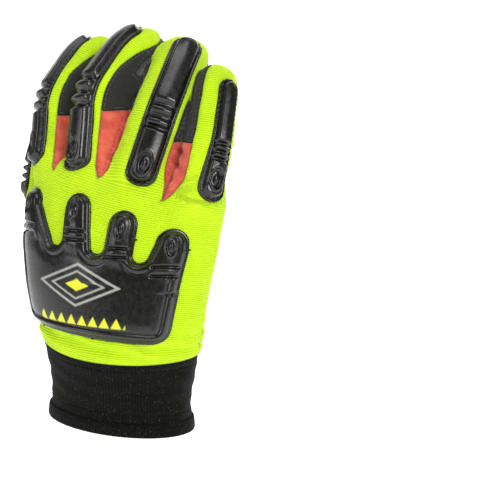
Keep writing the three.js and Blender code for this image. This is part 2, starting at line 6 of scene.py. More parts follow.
import bpy
import numpy as np
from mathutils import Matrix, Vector


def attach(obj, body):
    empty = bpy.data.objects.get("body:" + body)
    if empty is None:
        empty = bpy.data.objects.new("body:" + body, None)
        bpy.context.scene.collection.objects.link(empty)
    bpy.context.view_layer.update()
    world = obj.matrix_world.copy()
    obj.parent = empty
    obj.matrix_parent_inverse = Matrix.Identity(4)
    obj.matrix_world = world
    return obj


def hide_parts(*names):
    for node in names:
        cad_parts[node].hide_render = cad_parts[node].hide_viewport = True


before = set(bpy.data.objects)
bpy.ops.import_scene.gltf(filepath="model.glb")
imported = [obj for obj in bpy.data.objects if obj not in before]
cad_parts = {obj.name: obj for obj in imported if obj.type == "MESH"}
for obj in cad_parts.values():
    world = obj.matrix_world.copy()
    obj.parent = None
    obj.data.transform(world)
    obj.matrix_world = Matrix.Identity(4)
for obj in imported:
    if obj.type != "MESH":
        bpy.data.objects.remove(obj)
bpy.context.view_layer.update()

MM = 0.001

# The hand, cuff and digits: the part's own tables, corrected a little to the photograph
CUFF_SEAM = 42.0
HAND_LENGTH = 95.0
KNUCKLE_WIDTH = 118.0
ARCH_RADIUS = 95.0
KNUCKLE_SLOPE = 0.2
CUFF_LOW = (43.5, 27.0)
CUFF_TOP = (47.0, 30.5)
CUFF_WAIST = 2.4
# up, half width, half depth, arch, power, middle across, middle back
HAND_ROWS = np.array([
    (-0.12, 47.0, 30.5, 0.02, 2.1, 0.0, 0.0),
    (0.0, 47.0, 30.5, 0.1, 2.1, 0.0, 0.0),
    (0.14, 48.8, 30.0, 0.28, 2.15, -0.4, 0.0),
    (0.34, 53.4, 26.0, 0.5, 2.2, -2.9, -1.18),
    (0.54, 56.8, 22.8, 0.74, 2.25, -4.2, -1.42),
    (0.74, 59.4, 19.6, 0.92, 2.3, -4.2, 0.0),
    (0.9, 59.5, 16.8, 1.0, 2.4, -3.8, 1.77),
    (0.975, 58.1, 13.6, 1.0, 2.4, -3.6, 3.54),
    (1.0, 56.0, 8.4, 1.0, 2.4, -3.5, 4.13),
])
# length, width, depth, across, back, up, faces, splay, curl, bend, tip
DIGITS = {
    "index": (90, 27.5, 26, -0.417, 0.14, 1.018, -40, -17.0, 11, 25, 15),
    "middle": (97, 29.5, 30.5, -0.17, 0.081, 1.001, -30, -8.6, 12, 29, 17),
    "ring": (98, 33.0, 27, 0.062, 0.039, 0.928, 16.4, 16.0, 16.7, 17, 10),
    "pinky": (81, 26.5, 24, 0.34, 0.086, 0.862, 47, 17.0, 9, 9, 5),
    "thumb": (112, 33, 32, -0.395, 0.2, 0.3, -76, -17, -20, 22, 14),
}
FINGERS = ("index", "middle", "ring", "pinky")
FINGER_ROWS = np.array([
    (-0.2, 0.9, 0.9), (0.05, 1.0, 1.0), (0.3, 0.99, 0.97), (0.45, 1.0, 0.96), (0.62, 0.96, 0.89),
    (0.8, 0.93, 0.82), (0.9, 0.84, 0.71), (0.96, 0.66, 0.54), (1.0, 0.36, 0.3),
])
THUMB_ROWS = np.array([
    (-0.12, 0.5, 0.6), (-0.04, 1.0, 1.0), (0.1, 1.18, 1.1), (0.3, 1.06, 1.0), (0.48, 0.88, 0.88),
    (0.7, 0.82, 0.82), (0.86, 0.78, 0.7), (0.94, 0.64, 0.55), (1.0, 0.34, 0.3),
])
DIGIT_POWER = 2.3
# Sewing lines in degrees from the middle of a finger's back: on the thumb's side, then on
# the little finger's side at the root and at the tip, and the line to the finger's front
SEAMS = {
    "index": (62.0, 60.0, 96.0, 130.0),
    "middle": (60.0, 56.0, 90.0, 142.0),
    "ring": (84.0, 52.0, 88.0, 130.0),
    "pinky": (66.0, 70.0, 70.0, 126.0),
}
THUMB_SEAM = 62.0
FRONT_SEAM = 126.0
TIP_SEAM = 98.0
CAP_SHARE = 0.63
THUMB_CAP_SHARE = 0.64
# How far the cuff's seam rises at the thumb's side and at the little finger's side
SEAM_RISE = (5.0, 2.5)
# Walls of the cloth, the moulded rubber, the plate and pads, and the cuff's layers
CLOTH_WALL = 1.2
GUARD_WALL = 1.0
PLATE_WALL = 1.2
CUFF_WALL = 2.0
BINDING_WALL = 1.3
STRAP_WALL = 1.4
# The photograph's camera, and the floor just under the pull loop
CAMERA_AZIMUTH = 27.37
CAMERA_ELEVATION = 10.89
CAMERA_DISTANCE = 590.17
CAMERA_TARGET = (2.92, 0.0, 98.31)
PIXELS_PER_MM = 1.81
FLOOR_LEVEL = -16.2
# pair: lowest point on the back, top on the sides, lowest point on the palm
CROTCHES = {
    ("index", "middle"): (140.5, 170.0, 138.0),
    ("middle", "ring"): (138.5, 174.0, 136.0),
    ("ring", "pinky"): (128.5, 158.0, 127.0),
}


def smooth(t):
    """A step from 0 to 1 with flat ends."""
    c = np.clip(t, 0.0, 1.0)
    return c * c * (3.0 - 2.0 * c)


def bell(x, width):
    """A rounded peak of height 1 at zero."""
    return np.exp(-(x / width) ** 2)


def smooth_least(a, b, reach):
    """The lesser of two values, rounded over a reach where they meet."""
    h = np.clip(1.0 - np.abs(a - b) / reach, 0.0, 1.0)
    return np.minimum(a, b) - h * h * reach * 0.25


def smooth_most(a, b, reach):
    """The greater of two values, rounded over a reach where they meet."""
    return -smooth_least(-a, -b, reach)


def softened(x, y, samples, width):
    """A table read at many places and blurred, so that its kinks are rounded."""
    values = np.interp(samples, x, y)
    step = samples[1] - samples[0]
    reach = int(math.ceil(3 * width / step))
    kernel = np.exp(-0.5 * (np.arange(-reach, reach + 1) * step / width) ** 2)
    padded = np.concatenate([
        values[0] - (values[1] - values[0]) * np.arange(reach, 0, -1),
        values,
        values[-1] + (values[-1] - values[-2]) * np.arange(1, reach + 1),
    ])
    return np.convolve(padded, kernel / kernel.sum(), mode="valid")


def rolling_noise(p, size, seed):
    """Soft bumps between about -1 and 1: a sum of seeded plane waves of a given size."""
    draw = np.random.default_rng(seed)
    total = np.zeros(len(p))
    for _ in range(9):
        way = draw.normal(size=3)
        way /= np.linalg.norm(way)
        total += np.sin(p @ way * (2 * np.pi / (size * draw.uniform(0.7, 1.6))) + draw.uniform(0, 6.28))
    return total / 4.0


# The middle lines of the digits
SHARES = np.linspace(-0.26, 1.06, 265)


class Spine:
    """A digit's bent middle line: it runs ahead and curls about its across direction."""

    def __init__(self, name):
        (self.length, width, depth, across, back, up, faces, splay, curl, bend, tip) = DIGITS[name]
        joints = (0.42, 0.72) if name == "thumb" else (0.45, 0.76)
        rows = THUMB_ROWS if name == "thumb" else FINGER_ROWS
        f, lean = math.radians(faces), math.radians(splay)
        outward = np.array([math.sin(f), -math.cos(f), 0.0])
        side = np.array([math.cos(f), math.sin(f), 0.0])
        ahead = np.array([0.0, 0.0, math.cos(lean)]) + side * math.sin(lean)
        self.across = side * math.cos(lean) - np.array([0.0, 0.0, math.sin(lean)])
        flexion = np.radians(
            curl
            + bend * smooth((SHARES - joints[0] + 0.1) / 0.2)
            + tip * smooth((SHARES - joints[1] + 0.1) / 0.2)
        )[:, None]
        self.heading = ahead * np.cos(flexion) - outward * np.sin(flexion)
        self.dorsal = outward * np.cos(flexion) + ahead * np.sin(flexion)
        step = (SHARES[1] - SHARES[0]) * self.length
        run = np.vstack([np.zeros(3), np.cumsum((self.heading[1:] + self.heading[:-1]) * 0.5 * step, axis=0)])
        start = np.array([np.interp(0.0, SHARES, run[:, k]) for k in range(3)])
        root = np.array([across * KNUCKLE_WIDTH, back * KNUCKLE_WIDTH, CUFF_SEAM + up * HAND_LENGTH])
        self.middle = run - start + root
        self.half_width = softened(rows[:, 0], rows[:, 1] * width / 2, SHARES, 0.03)
        self.half_depth = softened(rows[:, 0], rows[:, 2] * depth / 2, SHARES, 0.03)
        self.low = rows[0, 0]

    def at(self, table, share):
        if table.ndim == 1:
            return np.interp(share, SHARES, table)
        return np.stack([np.interp(share, SHARES, table[:, k]) for k in range(3)], axis=-1)

    def place(self, share, across, dorsal):
        """Points given by a share of the length and two distances from the middle line."""
        return (
            self.at(self.middle, share)
            + across[..., None] * self.across
            + dorsal[..., None] * self.at(self.dorsal, share)
        )

    def local(self, p):
        """Share of the length, across, dorsal and distance past the end of each point."""
        some = slice(0, len(SHARES), 8)
        mids = self.middle[some].astype(np.float32)
        q = p.astype(np.float32)
        far = (mids ** 2).sum(1)[None] - 2 * q @ mids.T
        near = far.argmin(axis=1)
        share = SHARES[some][near]
        for _ in range(3):
            off = p - self.at(self.middle, share)
            ahead = (off * self.at(self.heading, share)).sum(-1)
            share = np.clip(share + 0.85 * ahead / self.length, self.low, 1.0)
        off = p - self.at(self.middle, share)
        return (
            share,
            off @ self.across,
            (off * self.at(self.dorsal, share)).sum(-1),
            (off * self.at(self.heading, share)).sum(-1),
        )

    def field(self, p):
        """How far a point is outside the digit, along the ray from its middle line."""
        share, across, dorsal, past = self.local(p)
        far = np.hypot(across, dorsal) + 1e-6
        wide, deep = self.at(self.half_width, share), self.at(self.half_depth, share)
        ray = (np.abs(across / far / wide) ** DIGIT_POWER + np.abs(dorsal / far / deep) ** DIGIT_POWER)
        side = far - ray ** (-1 / DIGIT_POWER)
        side = side + 7.0 * smooth((self.low + 0.2 - share) / 0.18) * (self.low < -0.15)
        top = (share - 1.0) * self.length + np.maximum(past, 0.0) + 0.6
        return smooth_most(side, np.where(share > 0.5, top, -30.0), 5.0)


SPINES = {name: Spine(name) for name in DIGITS}


# The hand
UPS = np.linspace(-0.12, 1.02, 229)
HAND = {
    key: softened(HAND_ROWS[:, 0], HAND_ROWS[:, k], UPS, 0.022)
    for k, key in ((1, "wide"), (2, "deep"), (3, "arch"), (4, "power"), (5, "x"), (6, "y"))
}


def hand_row(key, up):
    return np.interp(up, UPS, HAND[key])


def hand_local(p):
    """Share of the hand's length, distance along its arch and out from its middle line."""
    up = (p[:, 2] - CUFF_SEAM) / (HAND_LENGTH - KNUCKLE_SLOPE * p[:, 0])
    low = (p[:, 2] - CUFF_SEAM) / HAND_LENGTH
    up = np.where(low < 0, low, up)
    radius = ARCH_RADIUS / np.maximum(hand_row("arch", up), 0.02)
    dx = p[:, 0] - hand_row("x", up)
    dy = hand_row("y", up) + radius - p[:, 1]
    return up, np.arctan2(dx, dy) * radius, np.hypot(dx, dy) - radius


def hand_field(p):
    up, along, out = hand_local(p)
    power = hand_row("power", up)
    far = np.hypot(along, out) + 1e-6
    ray = (
        np.abs(along / far / hand_row("wide", up)) ** power
        + np.abs(out / far / hand_row("deep", up)) ** power
    )
    side = far - ray ** (-1 / power)
    return smooth_most(side, (up - 1.0) * HAND_LENGTH, 6.0)


# The skin of the whole glove, as a field on a grid of cells
CELL = 1.15
GRID_LOW = np.array([-92.0, -46.0, 30.0])
GRID_SIZE = np.array([142, 110, 172])


def grid_points(low, high):
    axes = [GRID_LOW[k] + CELL * np.arange(low[k], high[k]) for k in range(3)]
    return np.stack(np.meshgrid(*axes, indexing="ij"), axis=-1)


def evened(values):
    """A field divided by its slope, so that it reads as a distance near zero."""
    slope = np.sqrt(sum(g ** 2 for g in np.gradient(values, CELL)))
    return np.clip(values / np.maximum(slope, 0.25), -14.0, 14.0)


def glove_field():
    """The hand and the thumb flow into each other and the fingers stand close together."""
    every = grid_points(np.zeros(3, int), GRID_SIZE)
    hand = evened(hand_field(every.reshape(-1, 3)).reshape(GRID_SIZE))
    fields = {"hand": hand}
    for name, spine in SPINES.items():
        known = (SHARES >= spine.low) & (SHARES <= 1.0)
        reach = 26.0
        low = spine.middle[known].min(0) - reach
        high = spine.middle[known].max(0) + reach
        i0 = np.clip(((low - GRID_LOW) / CELL).astype(int), 0, GRID_SIZE)
        i1 = np.clip(((high - GRID_LOW) / CELL).astype(int) + 1, 0, GRID_SIZE)
        part = grid_points(i0, i1)
        values = np.full(GRID_SIZE, 14.0)
        inner = spine.field(part.reshape(-1, 3)).reshape(part.shape[:3])
        values[i0[0]:i1[0], i0[1]:i1[1], i0[2]:i1[2]] = evened(inner)
        fields[name] = values
    digits = fields["index"]
    web = smooth((157.0 - 0.17 * every[..., 0] - every[..., 2]) / 22.0)
    reaches = (("middle", 5.0, 12.0), ("ring", 9.0, 12.0), ("pinky", 5.0, 20.0))
    for name, high_reach, low_reach in reaches:
        digits = smooth_least(digits, fields[name], high_reach + (low_reach - high_reach) * web)
    whole = smooth_least(hand, digits, 6.0)
    fields["whole"] = smooth_least(whole, fields["thumb"], 5.0)
    return fields


FIELDS = glove_field()


def read_field(values, p):
    """The field and its slope at points, by quadratic weights over 27 grid values."""
    g = (p - GRID_LOW) / CELL
    base = np.clip(np.rint(g).astype(int), 1, GRID_SIZE - 2)
    t = np.clip(g - base, -0.75, 0.75)
    weights = np.stack([0.5 * (0.5 - t) ** 2, 0.75 - t ** 2, 0.5 * (0.5 + t) ** 2])
    slopes = np.stack([t - 0.5, -2 * t, t + 0.5])
    value = np.zeros(len(p))
    slope = np.zeros((len(p), 3))
    for i in range(3):
        for j in range(3):
            for k in range(3):
                v = values[base[:, 0] + i - 1, base[:, 1] + j - 1, base[:, 2] + k - 1]
                wx, wy, wz = weights[i, :, 0], weights[j, :, 1], weights[k, :, 2]
                value += v * wx * wy * wz
                slope[:, 0] += v * slopes[i, :, 0] * wy * wz
                slope[:, 1] += v * wx * slopes[j, :, 1] * wz
                slope[:, 2] += v * wx * wy * slopes[k, :, 2]
    return value, slope / CELL


def unit(v):
    return v / np.maximum(np.linalg.norm(v, axis=-1, keepdims=True), 1e-9)


def to_skin(p, steps=5):
    """Points moved along the slope onto the skin, with the skin's outward normals."""
    for _ in range(steps):
        value, slope = read_field(FIELDS["whole"], p)
        p = p - slope * (value / np.maximum((slope ** 2).sum(1), 0.1))[:, None]
    return p, unit(read_field(FIELDS["whole"], p)[1])


def cast(start, way, steps=26):
    """Where rays from inside the glove first leave it, with the normals there."""
    shape = start.shape
    p, way = start.reshape(-1, 3).copy(), unit(way.reshape(-1, 3))
    for _ in range(steps):
        value, _slope = read_field(FIELDS["whole"], p)
        p -= way * (0.9 * value)[:, None]
    normal = unit(read_field(FIELDS["whole"], p)[1])
    return p.reshape(shape), normal.reshape(shape)


# Meshes
def make_piece(name, points, faces, slot, nodes, material, **attributes):
    """A mesh object from points in millimetres, riding on the part, with its attributes."""
    mesh = bpy.data.meshes.new(name)
    mesh.from_pydata((points * MM).tolist(), [], faces if isinstance(faces, list) else faces.tolist())
    mesh.update()
    mesh.polygons.foreach_set("use_smooth", np.full(len(mesh.polygons), True))
    for key, values in attributes.items():
        made = mesh.attributes.new(key, "FLOAT", "POINT")
        made.data.foreach_set("value", np.asarray(values, dtype=np.float32))
    mesh.materials.append(material)
    piece = bpy.data.objects.new(name, mesh)
    bpy.context.collection.objects.link(piece)
    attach(piece, "root")
    if nodes:
        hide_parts(*nodes)
    return piece


def grid_faces(rows, columns, around=False):
    """Quads of a grid of points, closed round its columns if asked."""
    i = np.arange(rows - 1)[:, None]
    j = np.arange(columns if around else columns - 1)[None, :]
    k = (j + 1) % columns
    quads = np.stack([i * columns + j, i * columns + k, (i + 1) * columns + k, (i + 1) * columns + j], -1)
    return quads.reshape(-1, 4)


def thicken(piece, thickness):
    """A wall laid inwards from the surface."""
    solid = piece.modifiers.new("wall", "SOLIDIFY")
    solid.thickness = thickness * MM
    solid.offset = -1.0
    solid.use_even_offset = False


def cells_to_surface(values):
    """One point in each grid cell that the skin passes, joined by quads round each crossed edge."""
    inside = values < 0
    corner = [(a, b, c) for a in (0, 1) for b in (0, 1) for c in (0, 1)]
    n = np.array(values.shape) - 1
    count = sum(inside[a:a + n[0], b:b + n[1], c:c + n[2]].astype(int) for a, b, c in corner)
    cell = np.argwhere((count > 0) & (count < 8))
    number = np.full(n, -1)
    number[tuple(cell.T)] = np.arange(len(cell))
    at = {o: values[tuple((cell + o).T)] for o in corner}
    total, hits = np.zeros((len(cell), 3)), np.zeros(len(cell))
    for a in corner:
        for axis in range(3):
            if a[axis]:
                continue
            b = tuple(v + (k == axis) for k, v in enumerate(a))
            crossed = (at[a] < 0) != (at[b] < 0)
            t = np.where(crossed, at[a] / np.where(crossed, at[a] - at[b], 1.0), 0.0)
            spot = np.array(a, float) + np.outer(t, np.eye(3)[axis])
            total += spot * crossed[:, None]
            hits += crossed
    points = GRID_LOW + CELL * (cell + total / hits[:, None])
    quads = []
    for axis in range(3):
        u, v = (axis + 1) % 3, (axis + 2) % 3
        first = np.take(inside, np.arange(n[axis]), axis)
        second = np.take(inside, np.arange(1, n[axis] + 1), axis)
        edge = np.argwhere(first != second)
        edge = edge[(edge[:, u] > 0) & (edge[:, v] > 0) & (edge[:, u] < n[u]) & (edge[:, v] < n[v])]
        du, dv = np.eye(3, dtype=int)[u], np.eye(3, dtype=int)[v]
        ring = [number[tuple((edge - s * du - t * dv).T)] for s, t in ((1, 1), (0, 1), (0, 0), (1, 0))]
        ring = np.stack(ring, -1)
        turned = first[tuple(edge.T)]
        quads.append(np.where(turned[:, None], ring, ring[:, ::-1]))
    return points, np.concatenate(quads)


def relaxed(points, quads, rounds=4):
    """Points drawn to the mean of their neighbours and put back on the skin each time."""
    a = quads.ravel()
    b = np.roll(quads, -1, axis=1).ravel()
    ends = np.concatenate([a, b])
    others = np.concatenate([b, a])
    degree = np.bincount(ends, minlength=len(points))[:, None]
    for _ in range(rounds):
        mean = np.stack([np.bincount(ends, points[others, k], len(points)) for k in range(3)], -1) / degree
        points, normal = to_skin(0.4 * points + 0.6 * mean, 2)
    return to_skin(points, 4)


def cut(values, triangles, keep):
    """The part of a triangle mesh where keep is positive, with new points on its border.
    values is a table with a row for each point, which is read between points at the border."""
    g = np.where(np.abs(keep) < 1e-4, 1e-4, keep)
    state = (g[triangles] > 0).sum(1)
    whole = triangles[state == 3]
    one, two = triangles[state == 1], triangles[state == 2]

    def turned(tris, odd_is_positive):
        odd = ((g[tris] > 0) == odd_is_positive).argmax(1)
        return np.stack([tris[np.arange(len(tris)), (odd + k) % 3] for k in range(3)], -1)

    one, two = turned(one, True), turned(two, False)
    edges = np.concatenate([one[:, [0, 1]], one[:, [0, 2]], two[:, [0, 1]], two[:, [0, 2]]])
    keyed, back = np.unique(np.sort(edges, axis=1), axis=0, return_inverse=True)
    back = back.ravel()
    a, b = keyed[:, 0], keyed[:, 1]
    t = (g[a] / (g[a] - g[b]))[:, None]
    grown = np.concatenate([values, values[a] * (1 - t) + values[b] * t])
    new = back + len(values)
    m, n = len(one), len(two)
    p1, p2, q1, q2 = new[:m], new[m:2 * m], new[2 * m:2 * m + n], new[2 * m + n:]
    made = np.concatenate([
        whole,
        np.stack([one[:, 0], p1, p2], -1),
        np.stack([q1, two[:, 1], two[:, 2]], -1),
        np.stack([q1, two[:, 2], q2], -1),
    ])
    used, index = np.unique(made, return_inverse=True)
    return grown[used], index.reshape(-1, 3)


# Colours and materials
def rgb(red, green, blue):
    """A display colour of 0 to 255 as linear light."""
    c = np.array([red, green, blue]) / 255
    return tuple(np.where(c <= 0.04045, c / 12.92, ((c + 0.055) / 1.055) ** 2.4)) + (1.0,)


def group(name, inputs, build):
    """A node group with float inputs and one value out, filled in by build(tree, inputs)."""
    tree = bpy.data.node_groups.new(name, "ShaderNodeTree")
    for label, value in inputs:
        socket = tree.interface.new_socket(label, in_out="INPUT", socket_type="NodeSocketFloat")
        socket.default_value = value
    tree.interface.new_socket("value", in_out="OUTPUT", socket_type="NodeSocketFloat")
    start = tree.nodes.new("NodeGroupInput")
    end = tree.nodes.new("NodeGroupOutput")
    tree.links.new(build(tree, start.outputs), end.inputs[0])
    return tree


def maths(tree, kind, a, b=None, c=None, clamp=False):
    node = tree.nodes.new("ShaderNodeMath")
    node.operation = kind
    node.use_clamp = clamp
    for socket, value in zip(node.inputs, (a, b, c)):
        if value is None:
            continue
        if isinstance(value, (int, float)):
            socket.default_value = value
        else:
            tree.links.new(value, socket)
    return node.outputs[0]


def attribute(tree, name):
    node = tree.nodes.new("ShaderNodeAttribute")
    node.attribute_name = name
    return node.outputs["Fac"]


def noise(tree, scale, detail=2.0, stretch=(1, 1, 1)):
    """Noise on object coordinates; scale is in bumps to a metre."""
    place = tree.nodes.new("ShaderNodeTexCoord")
    mapping = tree.nodes.new("ShaderNodeMapping")
    mapping.inputs["Scale"].default_value = stretch
    tree.links.new(place.outputs["Object"], mapping.inputs["Vector"])
    made = tree.nodes.new("ShaderNodeTexNoise")
    made.inputs["Scale"].default_value = scale
    made.inputs["Detail"].default_value = detail
    tree.links.new(mapping.outputs["Vector"], made.inputs["Vector"])
    return made.outputs["Fac"]


def ramp(tree, value, low, high):
    """A value stretched so that low becomes 0 and high becomes 1."""
    node = tree.nodes.new("ShaderNodeMapRange")
    node.inputs["From Min"].default_value = low
    node.inputs["From Max"].default_value = high
    tree.links.new(value, node.inputs["Value"])
    return node.outputs["Result"]


def tinted(tree, share, low, high):
    """A colour between two colours."""
    node = tree.nodes.new("ShaderNodeMix")
    node.data_type = "RGBA"
    for socket, value in ((node.inputs[0], share), (node.inputs[6], low), (node.inputs[7], high)):
        if isinstance(value, (tuple, float, int)):
            socket.default_value = value
        else:
            tree.links.new(value, socket)
    return node.outputs[2]


def bumped(tree, height, distance, strength=1.0, normal=None):
    node = tree.nodes.new("ShaderNodeBump")
    node.inputs["Strength"].default_value = strength
    node.inputs["Distance"].default_value = distance * MM
    tree.links.new(height, node.inputs["Height"])
    if normal is not None:
        tree.links.new(normal, node.inputs["Normal"])
    return node.outputs["Normal"]


def ribs_build(tree, ins):
    """Rounded ribs across a fabric, from a length in millimetres and their spacing."""
    turns = maths(tree, "DIVIDE", ins["along"], ins["spacing"])
    wave = maths(tree, "SINE", maths(tree, "MULTIPLY", turns, 2 * math.pi))
    return maths(tree, "MULTIPLY_ADD", wave, 0.5, 0.5)


RIBS = group("Fabric ribs", [("along", 0.0), ("spacing", 1.1)], ribs_build)


def seam_build(tree, ins):
    """1 in a sewn groove and 0 away from it, from the distance to the panel's edge. The fabrics darken their
    colour with it, as painted shade in the groove.
    """
    near = maths(tree, "DIVIDE", ins["edge"], ins["width"])
    return maths(tree, "SUBTRACT", 1.0, maths(tree, "MINIMUM", near, 1.0), clamp=True)


SEAM = group("Seam groove", [("edge", 5.0), ("width", 0.8)], seam_build)


def stitch_build(tree, ins):
    """1 on the stitches of a sewn row, from the distance to the panel's edge and a length."""
    off = maths(tree, "ABSOLUTE", maths(tree, "SUBTRACT", ins["edge"], ins["row"]))
    in_row = maths(tree, "LESS_THAN", off, 0.3)
    dash = maths(tree, "FRACT", maths(tree, "DIVIDE", ins["along"], ins["pitch"]))
    return maths(tree, "MULTIPLY", in_row, maths(tree, "LESS_THAN", dash, 0.6))


STITCH = group(
    "Sewn row", [("edge", 5.0), ("row", 1.4), ("along", 0.0), ("pitch", 2.4)], stitch_build)


def speckle_build(tree, ins):
    """Small pale flecks spread over a dark surface."""
    place = tree.nodes.new("ShaderNodeTexCoord")
    spots = tree.nodes.new("ShaderNodeTexVoronoi")
    tree.links.new(place.outputs["Object"], spots.inputs["Vector"])
    tree.links.new(ins["density"], spots.inputs["Scale"])
    near = maths(tree, "LESS_THAN", spots.outputs["Distance"], ins["size"])
    rare = noise(tree, 900.0, 1.0)
    return maths(tree, "MULTIPLY", near, ramp(tree, rare, 0.45, 0.7))


SPECKLE = group("Flecks", [("density", 900.0), ("size", 0.25)], speckle_build)


def use(tree, made, **values):
    node = tree.nodes.new("ShaderNodeGroup")
    node.node_tree = made
    for key, value in values.items():
        if isinstance(value, (int, float)):
            node.inputs[key].default_value = value
        else:
            tree.links.new(value, node.inputs[key])
    return node.outputs[0]


def new_material(name, roughness, sheen=0.0, specular=0.5):
    material = bpy.data.materials.new(name)
    material.use_nodes = True
    tree = material.node_tree
    shader = tree.nodes["Principled BSDF"]
    shader.inputs["Roughness"].default_value = roughness
    shader.inputs["Sheen Weight"].default_value = sheen
    shader.inputs["Specular IOR Level"].default_value = specular
    return material, tree, shader


def lime_material():
    """Fluorescent knit: fine ribs across, a little lighter on their crests as painted highlight, darker in
    the sewn grooves as painted shade, with a faint painted glow that stands in for its fluorescence.
    """
    material, tree, shader = new_material("Lime rib knit", 0.85, 0.06, 0.15)
    ribs = use(tree, RIBS, along=attribute(tree, "rib"), spacing=1.15)
    loops = use(tree, RIBS, along=attribute(tree, "wale"), spacing=0.9)
    seam = use(tree, SEAM, edge=attribute(tree, "edge"), width=0.7)
    patchy = ramp(tree, noise(tree, 60.0, 3.0), 0.3, 0.75)
    cloth = tinted(tree, patchy, rgb(150, 192, 3), rgb(176, 214, 10))
    # Painted highlight: the crests of the ribs are coloured lighter, as if lit.
    painted_rib_highlight = tinted(tree, maths(tree, "MULTIPLY", ribs, 0.7), cloth, rgb(204, 236, 36))
    # Painted shade: the colour darkens in the sewn grooves along the panel's edges.
    dark = tinted(tree, maths(tree, "MULTIPLY", seam, 0.75), painted_rib_highlight, rgb(70, 92, 8))
    tree.links.new(dark, shader.inputs["Base Color"])
    # Painted glow: the knit gives off a little light in its own colour, standing in for its fluorescence.
    tree.links.new(dark, shader.inputs["Emission Color"])
    shader.inputs["Emission Strength"].default_value = 0.03
    height = maths(tree, "MULTIPLY_ADD", loops, 0.25, ribs)
    normal = bumped(tree, height, 0.34, 0.9)
    normal = bumped(tree, noise(tree, 160.0, 3.0), 0.5, 0.35, normal)
    tree.links.new(normal, shader.inputs["Normal"])
    return material


def rubber_material():
    """Satin moulded rubber with a fine haze and paler ridges, which are painted highlight; the plate's
    printed pattern of diamonds and teeth is grey and lime."""
    material, tree, shader = new_material("Moulded rubber", 0.3, 0.0, 0.5)
    haze = ramp(tree, noise(tree, 420.0, 3.0), 0.3, 0.7)
    base = tinted(tree, haze, rgb(4, 5, 3), rgb(10, 11, 8))
    # Painted highlight: the crests and lips of the moulding are coloured paler, as if catching the light.
    painted_ridge_highlight = tinted(tree, maths(tree, "MULTIPLY", attribute(tree, "ridge"), 0.25), base, rgb(30, 31, 26))
    grey = tinted(tree, attribute(tree, "pale_print"), painted_ridge_highlight, rgb(150, 150, 144))
    printed = tinted(tree, attribute(tree, "lime_print"), grey, rgb(206, 208, 24))
    tree.links.new(printed, shader.inputs["Base Color"])
    rough = maths(tree, "MULTIPLY_ADD", haze, 0.12, 0.2)
    tree.links.new(rough, shader.inputs["Roughness"])
    tree.links.new(bumped(tree, noise(tree, 900.0, 2.0), 0.06, 0.5), shader.inputs["Normal"])
    return material


def mesh_material():
    """Black stretch mesh with a net of small holes."""
    material, tree, shader = new_material("Black stretch mesh", 0.75, 0.12, 0.3)
    ribs = use(tree, RIBS, along=attribute(tree, "rib"), spacing=1.5)
    wales = use(tree, RIBS, along=attribute(tree, "wale"), spacing=1.5)
    holes = maths(tree, "MULTIPLY", ribs, wales)
    seam = use(tree, SEAM, edge=attribute(tree, "edge"), width=0.7)
    base = tinted(tree, holes, rgb(30, 30, 27), rgb(8, 8, 7))
    # Painted shade: the mesh darkens in the sewn grooves along its edges.
    base = tinted(tree, maths(tree, "MULTIPLY", seam, 0.6), base, rgb(8, 8, 8))
    row = use(tree, STITCH, edge=attribute(tree, "edge"), along=attribute(tree, "rib"))
    base = tinted(tree, maths(tree, "MULTIPLY", row, 0.5), base, rgb(74, 74, 66))
    tree.links.new(base, shader.inputs["Base Color"])
    height = maths(tree, "ADD", maths(tree, "SUBTRACT", 1.0, holes), row)
    tree.links.new(bumped(tree, height, 0.3, 0.8), shader.inputs["Normal"])
    return material


def coral_material():
    """Coral stretch fabric with fine ribs, lit folds and deeper valleys, with painted shade in its sewn
    grooves and down the valley between the two fingers, and a faint painted glow.
    """
    material, tree, shader = new_material("Coral stretch fabric", 0.7, 0.3, 0.35)
    ribs = use(tree, RIBS, along=attribute(tree, "rib"), spacing=0.8)
    seam = use(tree, SEAM, edge=attribute(tree, "edge"), width=0.8)
    patchy = ramp(tree, noise(tree, 140.0, 3.0), 0.3, 0.75)
    base = tinted(tree, patchy, rgb(176, 60, 42), rgb(212, 92, 70))
    # Painted shade: darker in the sewn grooves and down the valley between the fingers.
    base = tinted(tree, maths(tree, "MULTIPLY", seam, 0.7), base, rgb(92, 28, 20))
    row = use(tree, STITCH, edge=attribute(tree, "edge"), along=attribute(tree, "rib"), row=1.1)
    base = tinted(tree, maths(tree, "MULTIPLY", row, 0.35), base, rgb(120, 40, 30))
    tree.links.new(base, shader.inputs["Base Color"])
    # Painted glow: the fabric gives off a little light in its own colour.
    tree.links.new(base, shader.inputs["Emission Color"])
    shader.inputs["Emission Strength"].default_value = 0.06
    tree.links.new(bumped(tree, ribs, 0.12, 0.6), shader.inputs["Normal"])
    return material


def leather_material():
    """Black microfibre leather with a pebbled grain and pale flecks."""
    material, tree, shader = new_material("Black palm leather", 0.6, 0.15, 0.45)
    grain = noise(tree, 750.0, 4.0)
    flecks = use(tree, SPECKLE, density=1100.0, size=0.2)
    seam = use(tree, SEAM, edge=attribute(tree, "edge"), width=0.7)
    base = tinted(tree, ramp(tree, grain, 0.3, 0.7), rgb(10, 10, 9), rgb(24, 24, 22))
    base = tinted(tree, maths(tree, "MULTIPLY", flecks, 0.5), base, rgb(120, 118, 112))
    # Painted shade: darker in the sewn grooves along the edges.
    base = tinted(tree, maths(tree, "MULTIPLY", seam, 0.6), base, rgb(7, 7, 7))
    row = use(tree, STITCH, edge=attribute(tree, "edge"), along=attribute(tree, "wale"), row=1.6)
    base = tinted(tree, maths(tree, "MULTIPLY", row, 0.6), base, rgb(70, 70, 66))
    tree.links.new(base, shader.inputs["Base Color"])
    tree.links.new(maths(tree, "MULTIPLY_ADD", grain, 0.25, 0.45), shader.inputs["Roughness"])
    tree.links.new(bumped(tree, grain, 0.18, 0.7), shader.inputs["Normal"])
    return material


